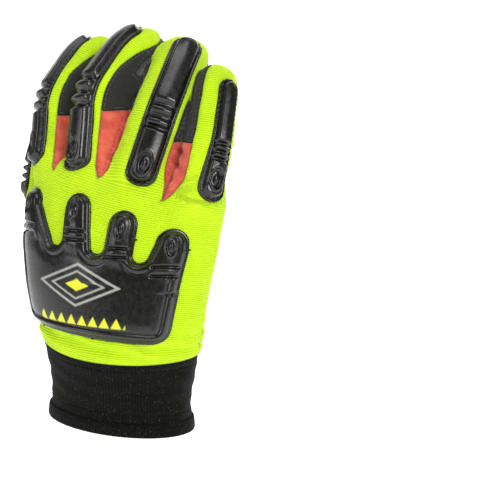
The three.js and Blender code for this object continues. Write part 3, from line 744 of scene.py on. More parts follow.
def cuff_material():
    """Dense black knit: upright ribs crossed by fine rows, with small pale flecks."""
    material, tree, shader = new_material("Cuff knit", 0.9, 0.03, 0.12)
    wales = use(tree, RIBS, along=attribute(tree, "wale"), spacing=1.6)
    rows = use(tree, RIBS, along=attribute(tree, "rib"), spacing=1.2)
    weave = maths(tree, "MULTIPLY", wales, maths(tree, "MULTIPLY_ADD", rows, 0.5, 0.5))
    fuzz = noise(tree, 800.0, 3.0)
    flecks = use(tree, SPECKLE, density=800.0, size=0.22)
    base = tinted(tree, maths(tree, "MULTIPLY", weave, fuzz), rgb(2, 2, 2), rgb(20, 21, 17))
    base = tinted(tree, maths(tree, "MULTIPLY", flecks, 0.3), base, rgb(120, 120, 112))
    tree.links.new(base, shader.inputs["Base Color"])
    tree.links.new(bumped(tree, maths(tree, "ADD", weave, fuzz), 0.22, 0.7), shader.inputs["Normal"])
    return material


def thread_material(name, colour):
    """Twisted sewing thread."""
    material, tree, shader = new_material(name, 0.55, 0.2, 0.4)
    twist = noise(tree, 2500.0, 1.0, (1, 1, 2.5))
    shaded = tinted(tree, twist, tuple(0.6 * c for c in colour[:3]) + (1,), colour)
    tree.links.new(shaded, shader.inputs["Base Color"])
    tree.links.new(bumped(tree, twist, 0.05, 0.5), shader.inputs["Normal"])
    return material


def tape_material():
    """Lime woven tape with a fine diagonal twill."""
    material, tree, shader = new_material("Lime tape", 0.7, 0.25, 0.35)
    slanting = maths(tree, "ADD", attribute(tree, "rib"), attribute(tree, "wale"))
    rows = use(tree, RIBS, along=slanting, spacing=0.7)
    base = tinted(tree, rows, rgb(150, 190, 10), rgb(205, 238, 50))
    tree.links.new(base, shader.inputs["Base Color"])
    tree.links.new(bumped(tree, rows, 0.12, 0.7), shader.inputs["Normal"])
    return material


LIME = lime_material()
RUBBER = rubber_material()
MESH = mesh_material()
CORAL = coral_material()
LEATHER = leather_material()
CUFF = cuff_material()
TAPE = tape_material()
DARK_THREAD = thread_material("Black thread", rgb(46, 46, 42))


# The skin, cut into its panels
def seam_height(x):
    """How high the cuff's seam lies: it rises to both sides, more to the thumb's."""
    return CUFF_SEAM + np.where(x < 0, *SEAM_RISE) * (x / CUFF_TOP[0]) ** 2


def skin_panels():
    """Every panel is the part of one skin where its own sewing lines hold. Each line is a
    distance: along a digit from an angle about its middle line, on the hand along the arch."""
    points, quads = cells_to_surface(FIELDS["whole"])
    points, normal = relaxed(points, quads)
    triangles = np.concatenate([quads[:, [0, 1, 2]], quads[:, [0, 2, 3]]])
    f = {key: read_field(values, points)[0] for key, values in FIELDS.items() if key != "whole"}
    up, along, out = hand_local(points)
    local = {name: spine.local(points) for name, spine in SPINES.items()}
    angle = {name: np.degrees(np.arctan2(v[1], v[2])) for name, v in local.items()}
    radius = {name: np.hypot(v[1], v[2]) for name, v in local.items()}
    share = {name: v[0] for name, v in local.items()}
    others = {n: np.min([f[m] for m in FINGERS if m != n], axis=0) for n in FINGERS}
    finger = np.min([f[n] for n in FINGERS], axis=0)
    on_finger = smooth((f["hand"] - finger + 1.0) / 7.0)
    thumb = smooth_most(f["thumb"] - np.minimum(f["hand"], finger), np.full(len(points), -9.0), 1.0)

    def arc(name, degrees):
        return np.radians(degrees) * radius[name]

    def between(name, low, high):
        return np.minimum(arc(name, angle[name] - low), arc(name, high - angle[name]))

    def least(*values):
        return np.min(np.broadcast_arrays(*values), axis=0)

    def little_side_of(name):
        _left, root, tip, front_line = SEAMS[name]
        return between(name, root + (tip - root) * smooth((share[name] - 0.55) / 0.35), front_line)

    def thumb_side_of(name):
        return between(name, -FRONT_SEAM, -SEAMS[name][0])

    regions = {}
    on_thumb = -thumb
    cap_line = (share["thumb"] - THUMB_CAP_SHARE) * DIGITS["thumb"][0]
    round_back = arc("thumb", np.abs(angle["thumb"]) - THUMB_SEAM)
    regions["thumb_tip_cap"] = least(on_thumb, cap_line, round_back)
    regions["thumb_back_panel"] = least(on_thumb, -round_back)
    regions["thumb_side_strip"] = least(on_thumb, between("thumb", THUMB_SEAM, 180 - THUMB_SEAM))
    regions["thumb_front_panel"] = on_thumb
    for name in FINGERS:
        above = (share[name] - CAP_SHARE) * DIGITS[name][0]
        round_tip = arc(name, np.abs(angle[name]) - TIP_SEAM)
        regions[f"{name}_tip_cap"] = least(above, round_tip, others[name] - f[name])
    for (a, b), (low, top, palm_low) in CROTCHES.items():
        left = little_side_of(a)
        right = thumb_side_of(b)
        lean = smooth((f[b] - f[a]) / 5.0 + 0.5)
        sides = left * lean + right * (1 - lean)
        gap = np.abs(f[b] - f[a]) * 0.5
        foot = low + (palm_low - low) * smooth(0.5 - out / 10.0)
        rise = (points[:, 2] - foot - 0.4 * gap ** 1.8) * 0.6
        far_off = 5.0 - np.maximum(np.minimum(f[a], f[b]) - 3.0, 0)
        between_them = np.min([f[m] for m in FINGERS if m not in (a, b)], axis=0) - np.minimum(f[a], f[b])
        regions[f"{a}_{b}_crotch_patch"] = least(sides, rise, top - points[:, 2], far_off, between_them)
        lower = points[:, 2] - top
        regions[f"{a}_side_to_{b}"] = least(left, lower, others[a] - f[a])
        regions[f"{b}_side_to_{a}"] = least(right, lower, others[b] - f[b])
    half = hand_row("wide", up)
    root_line = SEAMS["index"][0] + 34.0 * smooth((0.16 - share["index"]) / 0.16)
    index_edge = np.minimum(thumb_side_of("index"), arc("index", -angle["index"] - root_line))
    little_edge = little_side_of("pinky")
    thumb_side = np.minimum(-along - half + 13.0, -out - 6.0)
    little_side = np.minimum(along - half + 14.0, -out - 8.5)
    regions["index_side_panel"] = np.minimum(
        thumb_side * (1 - on_finger) + index_edge * on_finger, np.where(points[:, 0] < -20, 9.0, -9.0))
    regions["little_side_panel"] = np.minimum(
        little_side * (1 - on_finger) + little_edge * on_finger, np.where(points[:, 0] > 20, 9.0, -9.0))
    front = np.full(len(points), -9.0)
    nearest = np.argmin([f[n] for n in FINGERS], axis=0)
    rib_at = np.zeros(len(points))
    wale_at = np.zeros(len(points))
    for k, name in enumerate(FINGERS):
        front = np.where(nearest == k, arc(name, np.abs(angle[name]) - FRONT_SEAM), front)
        start = DIGITS[name][5] * HAND_LENGTH
        rib_at = np.where(nearest == k, share[name] * DIGITS[name][0] + start, rib_at)
        wale_at = np.where(nearest == k, arc(name, angle[name]), wale_at)
    regions["palm_panel"] = -out * (1 - on_finger) + front * on_finger
    regions["back_panel"] = np.full(len(points), 9.0)

    weight = smooth((f["hand"] - finger + 1.0) / 18.0)
    rib = up * HAND_LENGTH * (1 - weight) + rib_at * weight
    wale = along * (1 - weight) + wale_at * weight
    is_thumb = thumb < 0
    rib = np.where(is_thumb, share["thumb"] * DIGITS["thumb"][0], rib)
    wale = np.where(is_thumb, arc("thumb", angle["thumb"]), wale)

    # Folds in the cloth
    near_cuff = smooth((26.0 - points[:, 2] + CUFF_SEAM) / 20.0) * (out > -6)
    tilt = points[:, 2] + 0.16 * along + 1.6 * rolling_noise(points, 26.0, 4)
    folds = 1.0 * near_cuff * np.sin(tilt * (2 * np.pi / 8.5))
    coral = np.max([regions[f"{a}_{b}_crotch_patch"] for a, b in CROTCHES], axis=0)
    slant = points[:, 2] + 0.7 * points[:, 0]
    creases = np.sin(slant * (2 * np.pi / 8.5) + 1.6 * rolling_noise(points, 12.0, 6))
    valley = np.min([np.abs(f[b] - f[a]) + 9.0 * (np.minimum(f[a], f[b]) > 9.0) for a, b in CROTCHES], axis=0)
    folds += smooth(coral / 2.5) * (0.8 * creases - 2.0 * bell(valley, 2.4) + 0.4)
    folds += 0.28 * rolling_noise(points, 17.0, 8) + 0.12 * rolling_noise(points, 7.0, 9)
    seam_at = seam_height(points[:, 0])
    folds *= smooth((points[:, 2] - seam_at - 1) / 4.0)
    points = points + normal * folds[:, None]

    names = list(regions)
    table = np.column_stack([points, normal, rib, wale] + [regions[n] for n in names] + [valley])
    above_cuff = points[:, 2] - (seam_at - 0.9)
    rest, tris = cut(np.column_stack([table, above_cuff]), triangles, above_cuff)
    pieces = {}
    for k, name in enumerate(names):
        keep = rest[:, 8 + k]
        pieces[name] = cut(rest, tris, keep)
        if k < len(names) - 1:
            rest, tris = cut(rest, tris, -keep)
    return names, pieces


def panel_edge(names, name, table):
    """The distance from each point of a panel to the nearest line that it is sewn along."""
    k = names.index(name)
    lines = [-table[:, 8 + i] for i in range(k)]
    if k < len(names) - 1:
        lines.append(table[:, 8 + k])
    lines.append(table[:, -1])
    # On a coral patch the valley between its two fingers counts as a line too, so that the seam's painted
    # shade darkens it and the skin sinks along it.
    if "crotch" in name:
        lines.append(0.35 * table[:, -2] + 0.15)
    return np.clip(np.min(lines, axis=0), 0.0, 20.0)


def panel_nodes(name):
    if name == "back_panel":
        return [name] + [f"{n}_back_strip" for n in FINGERS]
    if name == "palm_panel":
        return [name] + [f"{n}_front_strip" for n in FINGERS]
    return [name]


def panel_finish(name):
    if "crotch" in name:
        return CORAL, "coral_fabric"
    if "_side_to_" in name:
        return MESH, "black_mesh"
    if name in ("back_panel", "palm_panel", "thumb_back_panel", "thumb_front_panel"):
        return LIME, "lime_knit"
    return LEATHER, "black_leather"


panel_names, panels = skin_panels()
for panel_name, (panel_table, panel_faces) in panels.items():
    edge = panel_edge(panel_names, panel_name, panel_table)
    sunk = -0.55 * bell(edge, 1.0) + 0.12 * bell(edge - 2.2, 1.2)
    panel_points = panel_table[:, :3] + panel_table[:, 3:6] * sunk[:, None]
    finish, slot_name = panel_finish(panel_name)
    panel = make_piece(
        f"{panel_name}_sewn", panel_points, panel_faces, slot_name, panel_nodes(panel_name), finish,
        rib=panel_table[:, 6], wale=panel_table[:, 7], edge=edge)
    thicken(panel, CLOTH_WALL)


def stitches(name, points, normals, length, slot, material):
    """Short threads laid along a row of points: each a small ellipsoid along the row."""
    ahead = unit(np.roll(points, -1, axis=0) - np.roll(points, 1, axis=0))
    side = np.cross(normals, ahead)
    rings = np.linspace(-1, 1, 6)
    turn = np.linspace(0, 2 * np.pi, 6, endpoint=False)
    swell = np.sqrt(np.maximum(1 - (0.96 * rings) ** 2, 0))
    a = np.repeat(rings, 6) * length / 2
    b = np.outer(swell, np.cos(turn)).ravel() * 0.34
    c = np.outer(swell, np.sin(turn)).ravel() * 0.26
    p = (points[:, None] + ahead[:, None] * a[None, :, None] + side[:, None] * b[None, :, None]
         + normals[:, None] * (c + 0.12)[None, :, None])
    count = len(points)
    faces = grid_faces(6, 6, True)
    ends = np.array([[0, 5, 4, 3], [0, 3, 2, 1], [30, 31, 32, 33], [30, 33, 34, 35]])
    faces = np.concatenate([faces, ends])
    every = (faces[None] + 36 * np.arange(count)[:, None, None]).reshape(-1, 4)
    return make_piece(name, p.reshape(-1, 3), every, slot, [], material)


# The moulded guards
def stadium_edge(t, c, length, half):
    """The distance inside the outline of a strip with round ends."""
    past = np.maximum(np.maximum(half - t, t - (length - half)), 0.0)
    return half - np.hypot(past, c)


def guard_profile(inside, t, c, ribs_at, recess_at):
    """A flat flange, a groove, then a rounded body with ribs cut across it and an almond recess."""
    flange = 1.1 * smooth((inside + 0.1) / 0.5)
    lip = 0.5 * bell(inside - 0.75, 0.45)
    body = smooth((inside - 1.5) / 2.2)
    swell = 1 + 0.14 * bell(t - ribs_at[1], 9.0)
    height = flange + lip + 3.2 * body * swell + 0.6 * smooth((inside - 3) / 4.5)
    step = ribs_at[1] - ribs_at[0]
    from_middle = np.clip((t - ribs_at[1]) / step, -1.5, 1.5)
    groove = (0.5 + 0.5 * np.cos(2 * np.pi * from_middle)) ** 1.3 * body
    height -= 2.6 * groove
    almond = 1.0 - np.hypot((t - recess_at) / 6.6, c / 2.9)
    height += 0.5 * bell(almond + 0.06, 0.1) * body
    height += 1.0 * smooth(almond * 2.2 - 0.9) - 1.5 * smooth(almond * 4.0)
    # The crest of the body and the lip of the flange: where the rubber is painted paler, as a highlight.
    ridge = np.clip(bell(inside - 3.4, 0.7) + bell(inside - 0.75, 0.35), 0, 1) * (1 - groove)
    return height, ridge


GUARDS = {
    # share of the digit's length: start, end, middle of the ribs; its shift across at its low
    # and its top end, its half width, how much it narrows upwards, and the step of its ribs
    "index": (0.0, 0.92, 0.422, -0.2, -1.6, 7.8, 0.06, 4.8),
    "middle": (0.0, 0.92, 0.433, 2.4, 0.0, 8.0, 0.06, 5.0),
    "ring": (0.018, 0.93, 0.41, 1.2, 1.2, 7.7, 0.0, 5.3),
    "pinky": (0.03, 0.86, 0.367, 1.4, 2.2, 6.9, 0.26, 3.9),
    "thumb": (0.46, 0.95, 0.6, 0.0, 0.0, 7.6, 0.0, 4.8),
}


def guard(name):
    """A strip of moulded rubber on a digit's back: a height over the skin on a grid of length
    by width, whose rows narrow to the round ends."""
    spine = SPINES[name]
    low, high, rib_share, low_shift, top_shift, half, narrowing, rib_step = GUARDS[name]
    length = (high - low) * spine.length
    rows, columns = int(length / 0.4), 46
    t = np.linspace(0, length, rows)
    t = 0.5 * length * (1 - np.cos(np.pi * t / length)) * 0.35 + t * 0.65
    past = np.maximum(np.maximum(half - t, t - (length - half)), 0.0)
    wide = np.sqrt(np.maximum(half ** 2 - past ** 2, 0.03))
    c = np.linspace(-1, 1, columns)[None, :] * wide[:, None]
    t2 = np.broadcast_to(t[:, None], c.shape)

    def over_digit(t_at, c_at):
        """The skin under a place on the guard, with its normal."""
        along = t_at / length
        aside = c_at * (1 - narrowing * smooth((along - 0.1) / 0.5))
        aside = aside + low_shift + (top_shift - low_shift) * along
        share_at = low + t_at / spine.length
        way = spine.at(spine.dorsal, share_at) + 0.012 * c_at[..., None] * spine.across
        return cast(spine.place(share_at, aside, np.zeros_like(c_at)), way)

    skin, normal = over_digit(t2, c)
    inside = stadium_edge(t2, c, length, half)
    middle_rib = (rib_share - low) * spine.length
    ribs_at = (middle_rib - rib_step, middle_rib, middle_rib + rib_step)
    recess_at = 12.5 if name != "thumb" else 42.0
    height, ridge = guard_profile(inside, t2, c, ribs_at, recess_at)
    points = (skin + normal * (height - 0.15)[..., None]).reshape(-1, 3)
    piece = make_piece(
        f"{name}_guard_moulded", points, grid_faces(rows, columns), "moulded_rubber",
        [f"{name}_guard"], RUBBER, ridge=ridge.ravel())
    thicken(piece, GUARD_WALL)
    row = half - 0.75
    straight = length - 2 * half
    ends = math.pi * row
    around = np.linspace(0, 2 * straight + 2 * ends, int((2 * straight + 2 * ends) / 2.9), endpoint=False)
    first = around < straight
    second = (around >= straight) & (around < straight + ends)
    third = (around >= straight + ends) & (around < 2 * straight + ends)
    turn = np.where(second, (around - straight) / row, (around - 2 * straight - ends) / row)
    t = np.select([first, second, third], [
        half + around, length - half + row * np.sin(turn), length - half - (around - straight - ends)],
        half - row * np.sin(turn))
    c = np.select([first, second, third], [-row, -row * np.cos(turn), row], row * np.cos(turn))
    spots, up_way = over_digit(t, c)
    stitches(f"{name}_guard_stitches", spots + up_way * 1.35, up_way, 1.7, "moulded_rubber", DARK_THREAD)


for digit_name in DIGITS:
    guard(digit_name)


# The back plate
PLATE_LOBES = ((-52.2, 130.0), (-17.0, 130.5), (10.5, 123.0), (36.0, 114.1))
PLATE_VALLEYS = ((-29.2, 101.7), (-2.3, 99.6), (21.6, 96.2))
LOBE_RADIUS = 8.0
VALLEY_RADIUS = 4.0


def polygon_distance(x, z, corners):
    """The distance inside a closed outline, negative outside it."""
    a = np.asarray(corners, float)
    b = np.roll(a, -1, axis=0)
    best = np.full(x.shape, 1e9)
    odd = np.zeros(x.shape, bool)
    for (ax, az), (bx, bz) in zip(a, b):
        ex, ez = bx - ax, bz - az
        t = np.clip(((x - ax) * ex + (z - az) * ez) / (ex * ex + ez * ez), 0, 1)
        best = np.minimum(best, np.hypot(x - ax - t * ex, z - az - t * ez))
        crossing = ((az > z) != (bz > z)) & (x < ex * (z - az) / (ez if ez else 1e-9) + ax)
        odd ^= crossing
    return np.where(odd, best, -best)


def rounded_outline(corners, radius, steps=8):
    """An outline whose corners are drawn as short curves."""
    a = np.asarray(corners, float)
    made = []
    for i, corner in enumerate(a):
        ends = []
        for other in (a[i - 1], a[(i + 1) % len(a)]):
            far = np.linalg.norm(other - corner)
            ends.append(corner + (other - corner) * min(radius, 0.45 * far) / far)
        t = np.linspace(0, 1, steps)[:, None]
        made.append(ends[0] * (1 - t) ** 2 + 2 * corner * t * (1 - t) + ends[1] * t ** 2)
    return np.concatenate(made)


def plate_outline():
    """Lobes over the knuckles with deep valleys, straight sides and a rounded foot."""
    lobes = []
    for i, (x, z) in enumerate(PLATE_LOBES):
        turn = np.radians(np.linspace(180, 0, 15))
        lobes.append(np.column_stack(
            [x + LOBE_RADIUS * np.cos(turn), z - LOBE_RADIUS + LOBE_RADIUS * np.sin(turn)]))
        if i < 3:
            vx, vz = PLATE_VALLEYS[i]
            turn = np.radians(np.linspace(190, 350, 9))
            lobes.append(np.column_stack(
                [vx + VALLEY_RADIUS * np.cos(turn), vz + VALLEY_RADIUS + VALLEY_RADIUS * np.sin(turn)]))
    right, left = (44.2, 101.7), (-61.0, 101.0)
    foot = rounded_outline([right, (38.6, 53.2), (-49.5, 56.3), left], 9.0)[8:24]
    return np.concatenate([np.array([right]), foot, np.array([left])] + lobes)


def over_hand(x, z, side):
    """The skin under points of a plan drawn on the X-Z plane, cast out to one side."""
    up = (z - CUFF_SEAM) / (HAND_LENGTH - KNUCKLE_SLOPE * x)
    radius = ARCH_RADIUS / np.maximum(hand_row("arch", up), 0.02)
    middle = hand_row("y", up) + radius - np.sqrt(np.maximum(radius ** 2 - (x - hand_row("x", up)) ** 2, 1.0))
    start = np.stack([x, middle + side * 2.0, z], axis=-1)
    return cast(start, np.broadcast_to(np.array([0.0, float(side), 0.0]), start.shape), steps=34)


def plan_piece(name, outline, cell, side, profile, slot, nodes, material):
    """A raised piece drawn in plan: a height over the skin from the distance to its outline.
    Grid points just outside are moved onto the outline, so its edge is smooth."""
    low, high = outline.min(0) - 1.5 * cell, outline.max(0) + 1.5 * cell
    x, z = np.meshgrid(np.arange(low[0], high[0], cell), np.arange(low[1], high[1], cell), indexing="ij")
    inside = polygon_distance(x, z, outline)
    gx, gz = np.gradient(inside, cell)
    slope = np.maximum(np.hypot(gx, gz), 0.3)
    shift = np.where((inside < 0) & (inside > -1.6 * cell), -inside, 0.0) / slope
    x, z = x + gx / slope * shift, z + gz / slope * shift
    kept = inside > -1.2 * cell
    inside = np.maximum(inside, 0.0)
    faces = grid_faces(*x.shape)
    faces = faces[kept.ravel()[faces].all(axis=1)]
    if side < 0:
        faces = faces[:, ::-1]
    used, index = np.unique(faces, return_inverse=True)
    px, pz, pin = x.ravel()[used], z.ravel()[used], inside.ravel()[used]
    skin, normal = over_hand(px, pz, side)
    height, marks = profile(px, pz, pin)
    points = skin + normal * height[:, None]
    piece = make_piece(name, points, index.reshape(-1, 4), slot, nodes, material,
                       edge=pin + 0.4, rib=pz, wale=px, **marks)
    thicken(piece, PLATE_WALL)
    return piece


def plate_profile(x, z, inside):
    """A flange, a raised rim that follows the outline, a smooth middle, and on each lobe an
    almond recess and cross ribs."""
    height = 1.2 * smooth((inside + 0.1) / 0.5) + 2.2 * smooth((inside - 1.2) / 2.0)
    below = smooth((101.0 - 0.2 * x - z) / 8.0)
    height += below * (0.3 * bell(inside - 4.0, 0.7) - 0.8 * bell(inside - 5.6, 0.8))
    height += (1 - below) * 1.4 * smooth((inside - 1.5) / 6.0)
    height += 0.25 * below * smooth((inside - 6.0) / 5.0)
    cuts = np.zeros_like(x)
    for lx, lz in PLATE_LOBES:
        near = smooth((inside - 1.8) / 1.6) * smooth((9.0 - np.abs(x - lx)) / 1.5)
        almond = 1.0 - np.hypot((x - lx) / 2.5, (z - lz + 9.5) / 5.6)
        recess = 1.3 * smooth(almond * 4.0) - 0.9 * smooth(almond * 2.2 - 0.9)
        cuts += (recess - 0.4 * bell(almond + 0.06, 0.1)) * near
        for k in range(2):
            cuts += 1.8 * bell(z - (lz - 20.0 - 4.6 * k), 0.8) * near
    rings = np.abs(x + 11.0) / 27.0 + np.abs(z - 82.5) / 12.5
    pale = smooth((0.07 - np.abs(rings - 0.88)) / 0.03) + smooth((0.06 - np.abs(rings - 0.58)) / 0.03)
    row = smooth((26.0 - np.abs(x + 8.0)) / 0.4)
    teeth = 6.0 * np.abs((x / 6.5) % 1.0 - 0.5) * 2 - (z - 61.0)
    lime = smooth((0.28 - rings) / 0.03) + row * smooth(teeth / 0.6) * smooth((z - 61.0) / 0.6)
    # The raised rim is marked for the rubber's painted highlight; the pale and lime marks are print.
    return height - cuts, {"ridge": bell(inside - 3.2, 0.8), "pale_print": pale, "lime_print": lime}


plan_piece("back_plate_moulded", plate_outline(), 0.42, -1, plate_profile,
           "moulded_rubber", ["back_plate"], RUBBER)


# The palm pads
def pad_profile(x, z, inside):
    """Quilted padding: a thin hem, then puffs between sewn channels."""
    height = 0.7 + 2.6 * smooth((inside - 0.8) / 5.0)
    channel = bell(z - 69.0, 0.8) + bell(z - 92.0, 0.8)
    slant = x - (-19.0 + 35.0 * smooth((115.0 - z) / 65.0))
    channel += bell(slant, 0.9)
    channel = np.clip(channel, 0, 1) * smooth((inside - 1.5) / 1.5)
    return height - 2.2 * channel, {}


def upper_pad_profile(x, z, inside):
    """Three puffs side by side with upright sewn channels between them."""
    height = 0.7 + 2.6 * smooth((inside - 0.8) / 4.0)
    channel = bell(x + 22.0, 0.8) + bell(x - 8.0, 0.8)
    channel = np.clip(channel, 0, 1) * smooth((inside - 1.2) / 1.5)
    return height - 2.2 * channel, {}


pad_box = np.array([(-40.5, 47.0), (36.0, 47.0), (36.9, 113.0), (-50.0, 113.0), (-49.0, 86.0)])
upper_box = np.array([
    (-51.0, 117.0), (36.5, 117.0), (36.5, 126.5), (27.0, 128.5), (18.5, 124.5), (10.0, 131.0), (-1.0, 133.0),
    (-7.0, 129.0), (-13.0, 135.0), (-25.0, 137.0), (-31.0, 133.0), (-37.0, 140.0), (-51.0, 141.0)])
plan_piece("palm_pad_quilted", rounded_outline(pad_box, 12.0), 0.6, 1, pad_profile,
                     "black_leather", ["palm_pad"], LEATHER)
plan_piece("upper_palm_pad_quilted", rounded_outline(upper_box, 6.0), 0.6, 1, upper_pad_profile,
                     "black_leather", ["upper_palm_pad"], LEATHER)


# The cuff, its binding, the strap and the loop
def cuff_size(z):
    """Half the cuff's width and depth at a height: a straight taper drawn in at its waist."""
    t = z / CUFF_SEAM
    waist = CUFF_WAIST * np.sin(np.pi * np.clip(t, 0, 1))
    wide = CUFF_LOW[0] + (CUFF_TOP[0] - CUFF_LOW[0]) * t - waist
    deep = CUFF_LOW[1] + (CUFF_TOP[1] - CUFF_LOW[1]) * t - waist
    return wide, deep


def cuff_ring(z, columns):
    """Rings of points round the cuff, which follow its seam's rise towards the top."""
    t = z / CUFF_SEAM
    wide, deep = cuff_size(z)
    turn = np.linspace(0, 2 * np.pi, columns, endpoint=False)[None, :] + np.zeros_like(z)
    x = wide * np.cos(turn)
    return np.stack([x, deep * np.sin(turn), z + t ** 2 * (seam_height(x) - CUFF_SEAM)], -1), turn


def cuff():
    """The knit tube, as rings with slack folds and two sewn lines."""
    rows, columns = 90, 360
    z = np.linspace(0.6, CUFF_SEAM - 0.3, rows)[:, None]
    ring, turn = cuff_ring(z, columns)
    p = ring.reshape(-1, 3)
    edge_in = -0.5 * bell(z - CUFF_SEAM, 1.3)
    lines = -0.45 * (bell(z - 12.5, 0.5) + bell(z - 37.5, 0.5))
    folds = 0.45 * rolling_noise(p, 22.0, 21).reshape(turn.shape)
    folds = folds + 0.2 * np.sin(z * 0.7 + 2 * np.sin(turn * 3))
    out = ring + np.stack([np.cos(turn), np.sin(turn), 0 * turn], -1) * (edge_in + lines + folds)[..., None]
    piece = make_piece("cuff_knitted", out.reshape(-1, 3), grid_faces(rows, columns, True), "cuff_knit",
                       ["cuff"], CUFF, rib=out[..., 2].ravel(), wale=(turn * 37).ravel())
    thicken(piece, CUFF_WALL)


def binding():
    """A folded band round the cuff's lower edge, as a rounded section carried round."""
    rows, columns = 26, 300
    s = np.linspace(0, 1, rows)[:, None]
    z = 7.2 * s
    ring, turn = cuff_ring(z, columns)
    bulge = 0.5 + 0.9 * np.sqrt(np.maximum(1 - (2 * s - 1) ** 6, 0)) - 0.35 * bell(z - 6.0, 0.4)
    out = ring + np.stack([np.cos(turn), np.sin(turn), 0 * turn], -1) * bulge[..., None]
    piece = make_piece("cuff_binding_sewn", out.reshape(-1, 3), grid_faces(rows, columns, True), "cuff_knit",
                       ["cuff_binding"], CUFF, rib=(out[..., 2] * 1.2).ravel(), wale=(turn * 37).ravel())
    thicken(piece, BINDING_WALL)


def closure_strap():
    """A tab over the cuff's palm side, as a height over the cuff on its plan."""
    root, straight_to, middle, half = -40.0, 12.2, 22.0, 13.5
    end_turn = np.radians(np.linspace(-90, 90, 30))
    end = np.column_stack([straight_to + half * np.cos(end_turn), middle + half * np.sin(end_turn)])
    outline = np.concatenate([np.array([(root, middle - half)]), end, np.array([(root, middle + half)])])
    cell = 0.5
    low, high = outline.min(0) - cell, outline.max(0) + cell
    x, z = np.meshgrid(np.arange(low[0], high[0], cell), np.arange(low[1], high[1], cell), indexing="ij")
    inside = polygon_distance(x, z, outline)
    kept = inside > -cell
    x = np.where((inside < 0) & (x < root + 1), root, x)
    wide, deep = cuff_size(z)
    height = 0.6 + 1.7 * smooth((inside + 0.3) / 0.8) - 0.35 * bell(inside - 2.2, 0.35)
    y = (deep + height) * np.sqrt(np.maximum(1 - (x / (wide + height)) ** 2, 0.0))
    faces = grid_faces(*x.shape)
    faces = faces[kept.ravel()[faces].all(axis=1)]
    used, index = np.unique(faces, return_inverse=True)
    points = np.stack([x, y, z], -1).reshape(-1, 3)[used]
    piece = make_piece("closure_strap_tab", points, index.reshape(-1, 4), "cuff_knit",
                       ["closure_strap"], CUFF, rib=points[:, 2], wale=points[:, 0])
    thicken(piece, STRAP_WALL)


def pull_loop():
    """A flat tape in a U: its middle line goes down inside the cuff, bends outwards and
    comes back, and a flat oval section is carried along it."""
    a, b = CUFF_LOW[0] - 2.6, CUFF_LOW[1] - 2.6
    turn = math.acos(-21.75 / a)
    c, d = math.cos(turn), math.sin(turn)
    outward = unit(np.array([c / a, d / b, 0.0]))
    along = np.array([outward[1], -outward[0], 0.0])
    curve = (a ** 2 * d ** 2 + b ** 2 * c ** 2) ** 1.5 / (a * b)
    hold, bend, span, wide, thick, reach, tilt = 9.0, 5.0, 11.0, 4.6, 1.6, 17.0, math.radians(58)
    waist = CUFF_WAIST * math.sin(math.pi * hold / CUFF_SEAM)
    back = ((span + wide) / 2) ** 2 / (2 * curve) + waist + 0.35 + thick / 2
    start = np.array([a * c, b * d, hold]) - outward * back
    straight = hold + bend * tilt + reach - span / 2
    leg = np.linspace(0, 1, 40)[:-1]
    arc_turn = np.linspace(np.pi, 0, 40)
    x = np.concatenate([np.full(39, -span / 2), span / 2 * np.cos(arc_turn), np.full(39, span / 2)])
    down = np.concatenate([straight * leg, straight + span / 2 * np.sin(arc_turn), straight * leg[::-1]])
    nx = np.concatenate([np.full(39, -1.0), np.cos(arc_turn), np.full(39, 1.0)])
    nd = np.concatenate([np.zeros(39), np.sin(arc_turn), np.zeros(39)])
    section = np.linspace(0, 2 * np.pi, 20, endpoint=False)
    w = np.sign(np.cos(section)) * np.abs(np.cos(section)) ** 0.5 * wide / 2
    t = np.sign(np.sin(section)) * np.abs(np.sin(section)) ** 0.7 * thick / 2
    sx = x[:, None] + nx[:, None] * w
    sd = down[:, None] + nd[:, None] * w
    bent = np.clip((sd - hold) / bend, 0, tilt)
    beyond = np.maximum(0, sd - hold - bend * tilt)
    fall = np.minimum(sd, hold) + bend * np.sin(bent) + beyond * np.cos(bent)
    out = bend * (1 - np.cos(bent)) + beyond * np.sin(bent)
    p = (
        start + sx[..., None] * along
        + (out + t * np.cos(bent))[..., None] * outward
        + (t * np.sin(bent) - fall)[..., None] * np.array([0.0, 0.0, 1.0])
    )
    rows, columns = sx.shape
    faces = grid_faces(rows, columns, True).tolist()
    faces.append(list(range(columns))[::-1])
    faces.append(list(range((rows - 1) * columns, rows * columns)))
    make_piece("pull_loop_tape", p.reshape(-1, 3), faces, "lime_tape", ["pull_loop"], TAPE,
               rib=np.repeat(0.5 * np.arange(rows), columns), wale=np.tile(w, rows))


cuff()
binding()
closure_strap()
pull_loop()


# Camera, floor and light
def look_from(place, target):
    """The turn of a camera or lamp at a place that looks at a target."""
    return (Vector(target) - Vector(place)).to_track_quat("-Z", "Y").to_euler()


def camera():
    azimuth, elevation = math.radians(CAMERA_AZIMUTH), math.radians(CAMERA_ELEVATION)
    target = np.array(CAMERA_TARGET)
    level = math.cos(elevation)
    way = np.array([math.sin(azimuth) * level, -math.cos(azimuth) * level, math.sin(elevation)])
    lens = bpy.data.cameras.new("photograph")
    lens.sensor_width = 36.0
    lens.lens = lens.sensor_width * PIXELS_PER_MM * CAMERA_DISTANCE / 500.0
    lens.shift_x = 0.25
    lens.clip_end = 20.0
    seen = bpy.data.objects.new("photograph", lens)
    seen.location = (target + way * CAMERA_DISTANCE) * MM
    seen.rotation_euler = look_from(seen.location, target * MM)
    bpy.context.collection.objects.link(seen)
    bpy.context.scene.camera = seen


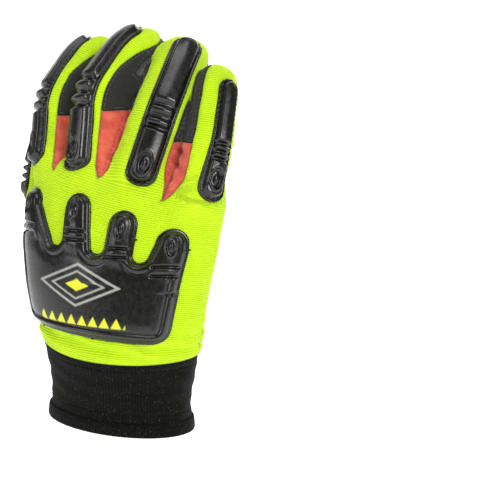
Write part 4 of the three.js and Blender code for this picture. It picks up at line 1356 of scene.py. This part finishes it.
def stage():
    """A seamless pale sheet: a flat floor that curves up far behind the glove."""
    columns = 40
    s = np.linspace(0, 1, 60)
    flat, bend = 1500.0, 900.0
    run = np.concatenate([
        np.linspace(-flat, flat, 30), flat + bend * np.sin(s * np.pi / 2), np.full(10, flat + bend)])
    rise = np.concatenate([np.zeros(30), bend * (1 - np.cos(s * np.pi / 2)), np.linspace(950, 3000, 10)])
    across = np.linspace(-2600, 2600, columns)
    turn = math.radians(CAMERA_AZIMUTH)
    x = across[None, :] * math.cos(turn) - run[:, None] * math.sin(turn)
    y = across[None, :] * math.sin(turn) + run[:, None] * math.cos(turn)
    z = np.broadcast_to(rise[:, None] + FLOOR_LEVEL, x.shape)
    points = np.stack([x, y, z], -1).reshape(-1, 3)
    mesh = bpy.data.meshes.new("pale_floor")
    mesh.from_pydata((points * MM).tolist(), [], grid_faces(len(run), columns).tolist())
    mesh.update()
    mesh.polygons.foreach_set("use_smooth", np.full(len(mesh.polygons), True))
    material, tree, shader = new_material("Pale floor", 0.9, 0.0, 0.2)
    soft = tinted(tree, noise(tree, 3.0, 1.0), (0.9, 0.9, 0.9, 1), (0.93, 0.93, 0.93, 1))
    tree.links.new(soft, shader.inputs["Base Color"])
    shader.inputs["Emission Color"].default_value = (1, 1, 1, 1)
    shader.inputs["Emission Strength"].default_value = 0.8
    mesh.materials.append(material)
    floor = bpy.data.objects.new("pale_floor", mesh)
    bpy.context.collection.objects.link(floor)


def softbox(name, place, target, size, power):
    lamp = bpy.data.lights.new(name, "AREA")
    lamp.shape = "RECTANGLE"
    lamp.size, lamp.size_y = size
    lamp.energy = power
    made = bpy.data.objects.new(name, lamp)
    made.location = place
    made.rotation_euler = look_from(place, target)
    bpy.context.collection.objects.link(made)


def lights():
    middle = (0.0, 0.0, 0.11)
    softbox("key", (1.0, -0.75, 0.85), middle, (0.5, 0.7), 14)
    softbox("fill", (-0.7, -0.95, 0.6), middle, (0.5, 0.8), 4.5)
    softbox("top", (0.1, -0.1, 1.3), middle, (0.7, 0.7), 5)
    softbox("rim", (0.2, 1.0, 0.8), middle, (1.0, 0.6), 6)
    world = bpy.data.worlds.new("studio")
    world.use_nodes = True
    shade = world.node_tree.nodes["Background"]
    shade.inputs["Color"].default_value = (1, 1, 1, 1)
    shade.inputs["Strength"].default_value = 0.24
    bpy.context.scene.world = world
    bpy.context.scene.view_settings.view_transform = "Standard"


camera()
stage()
lights()
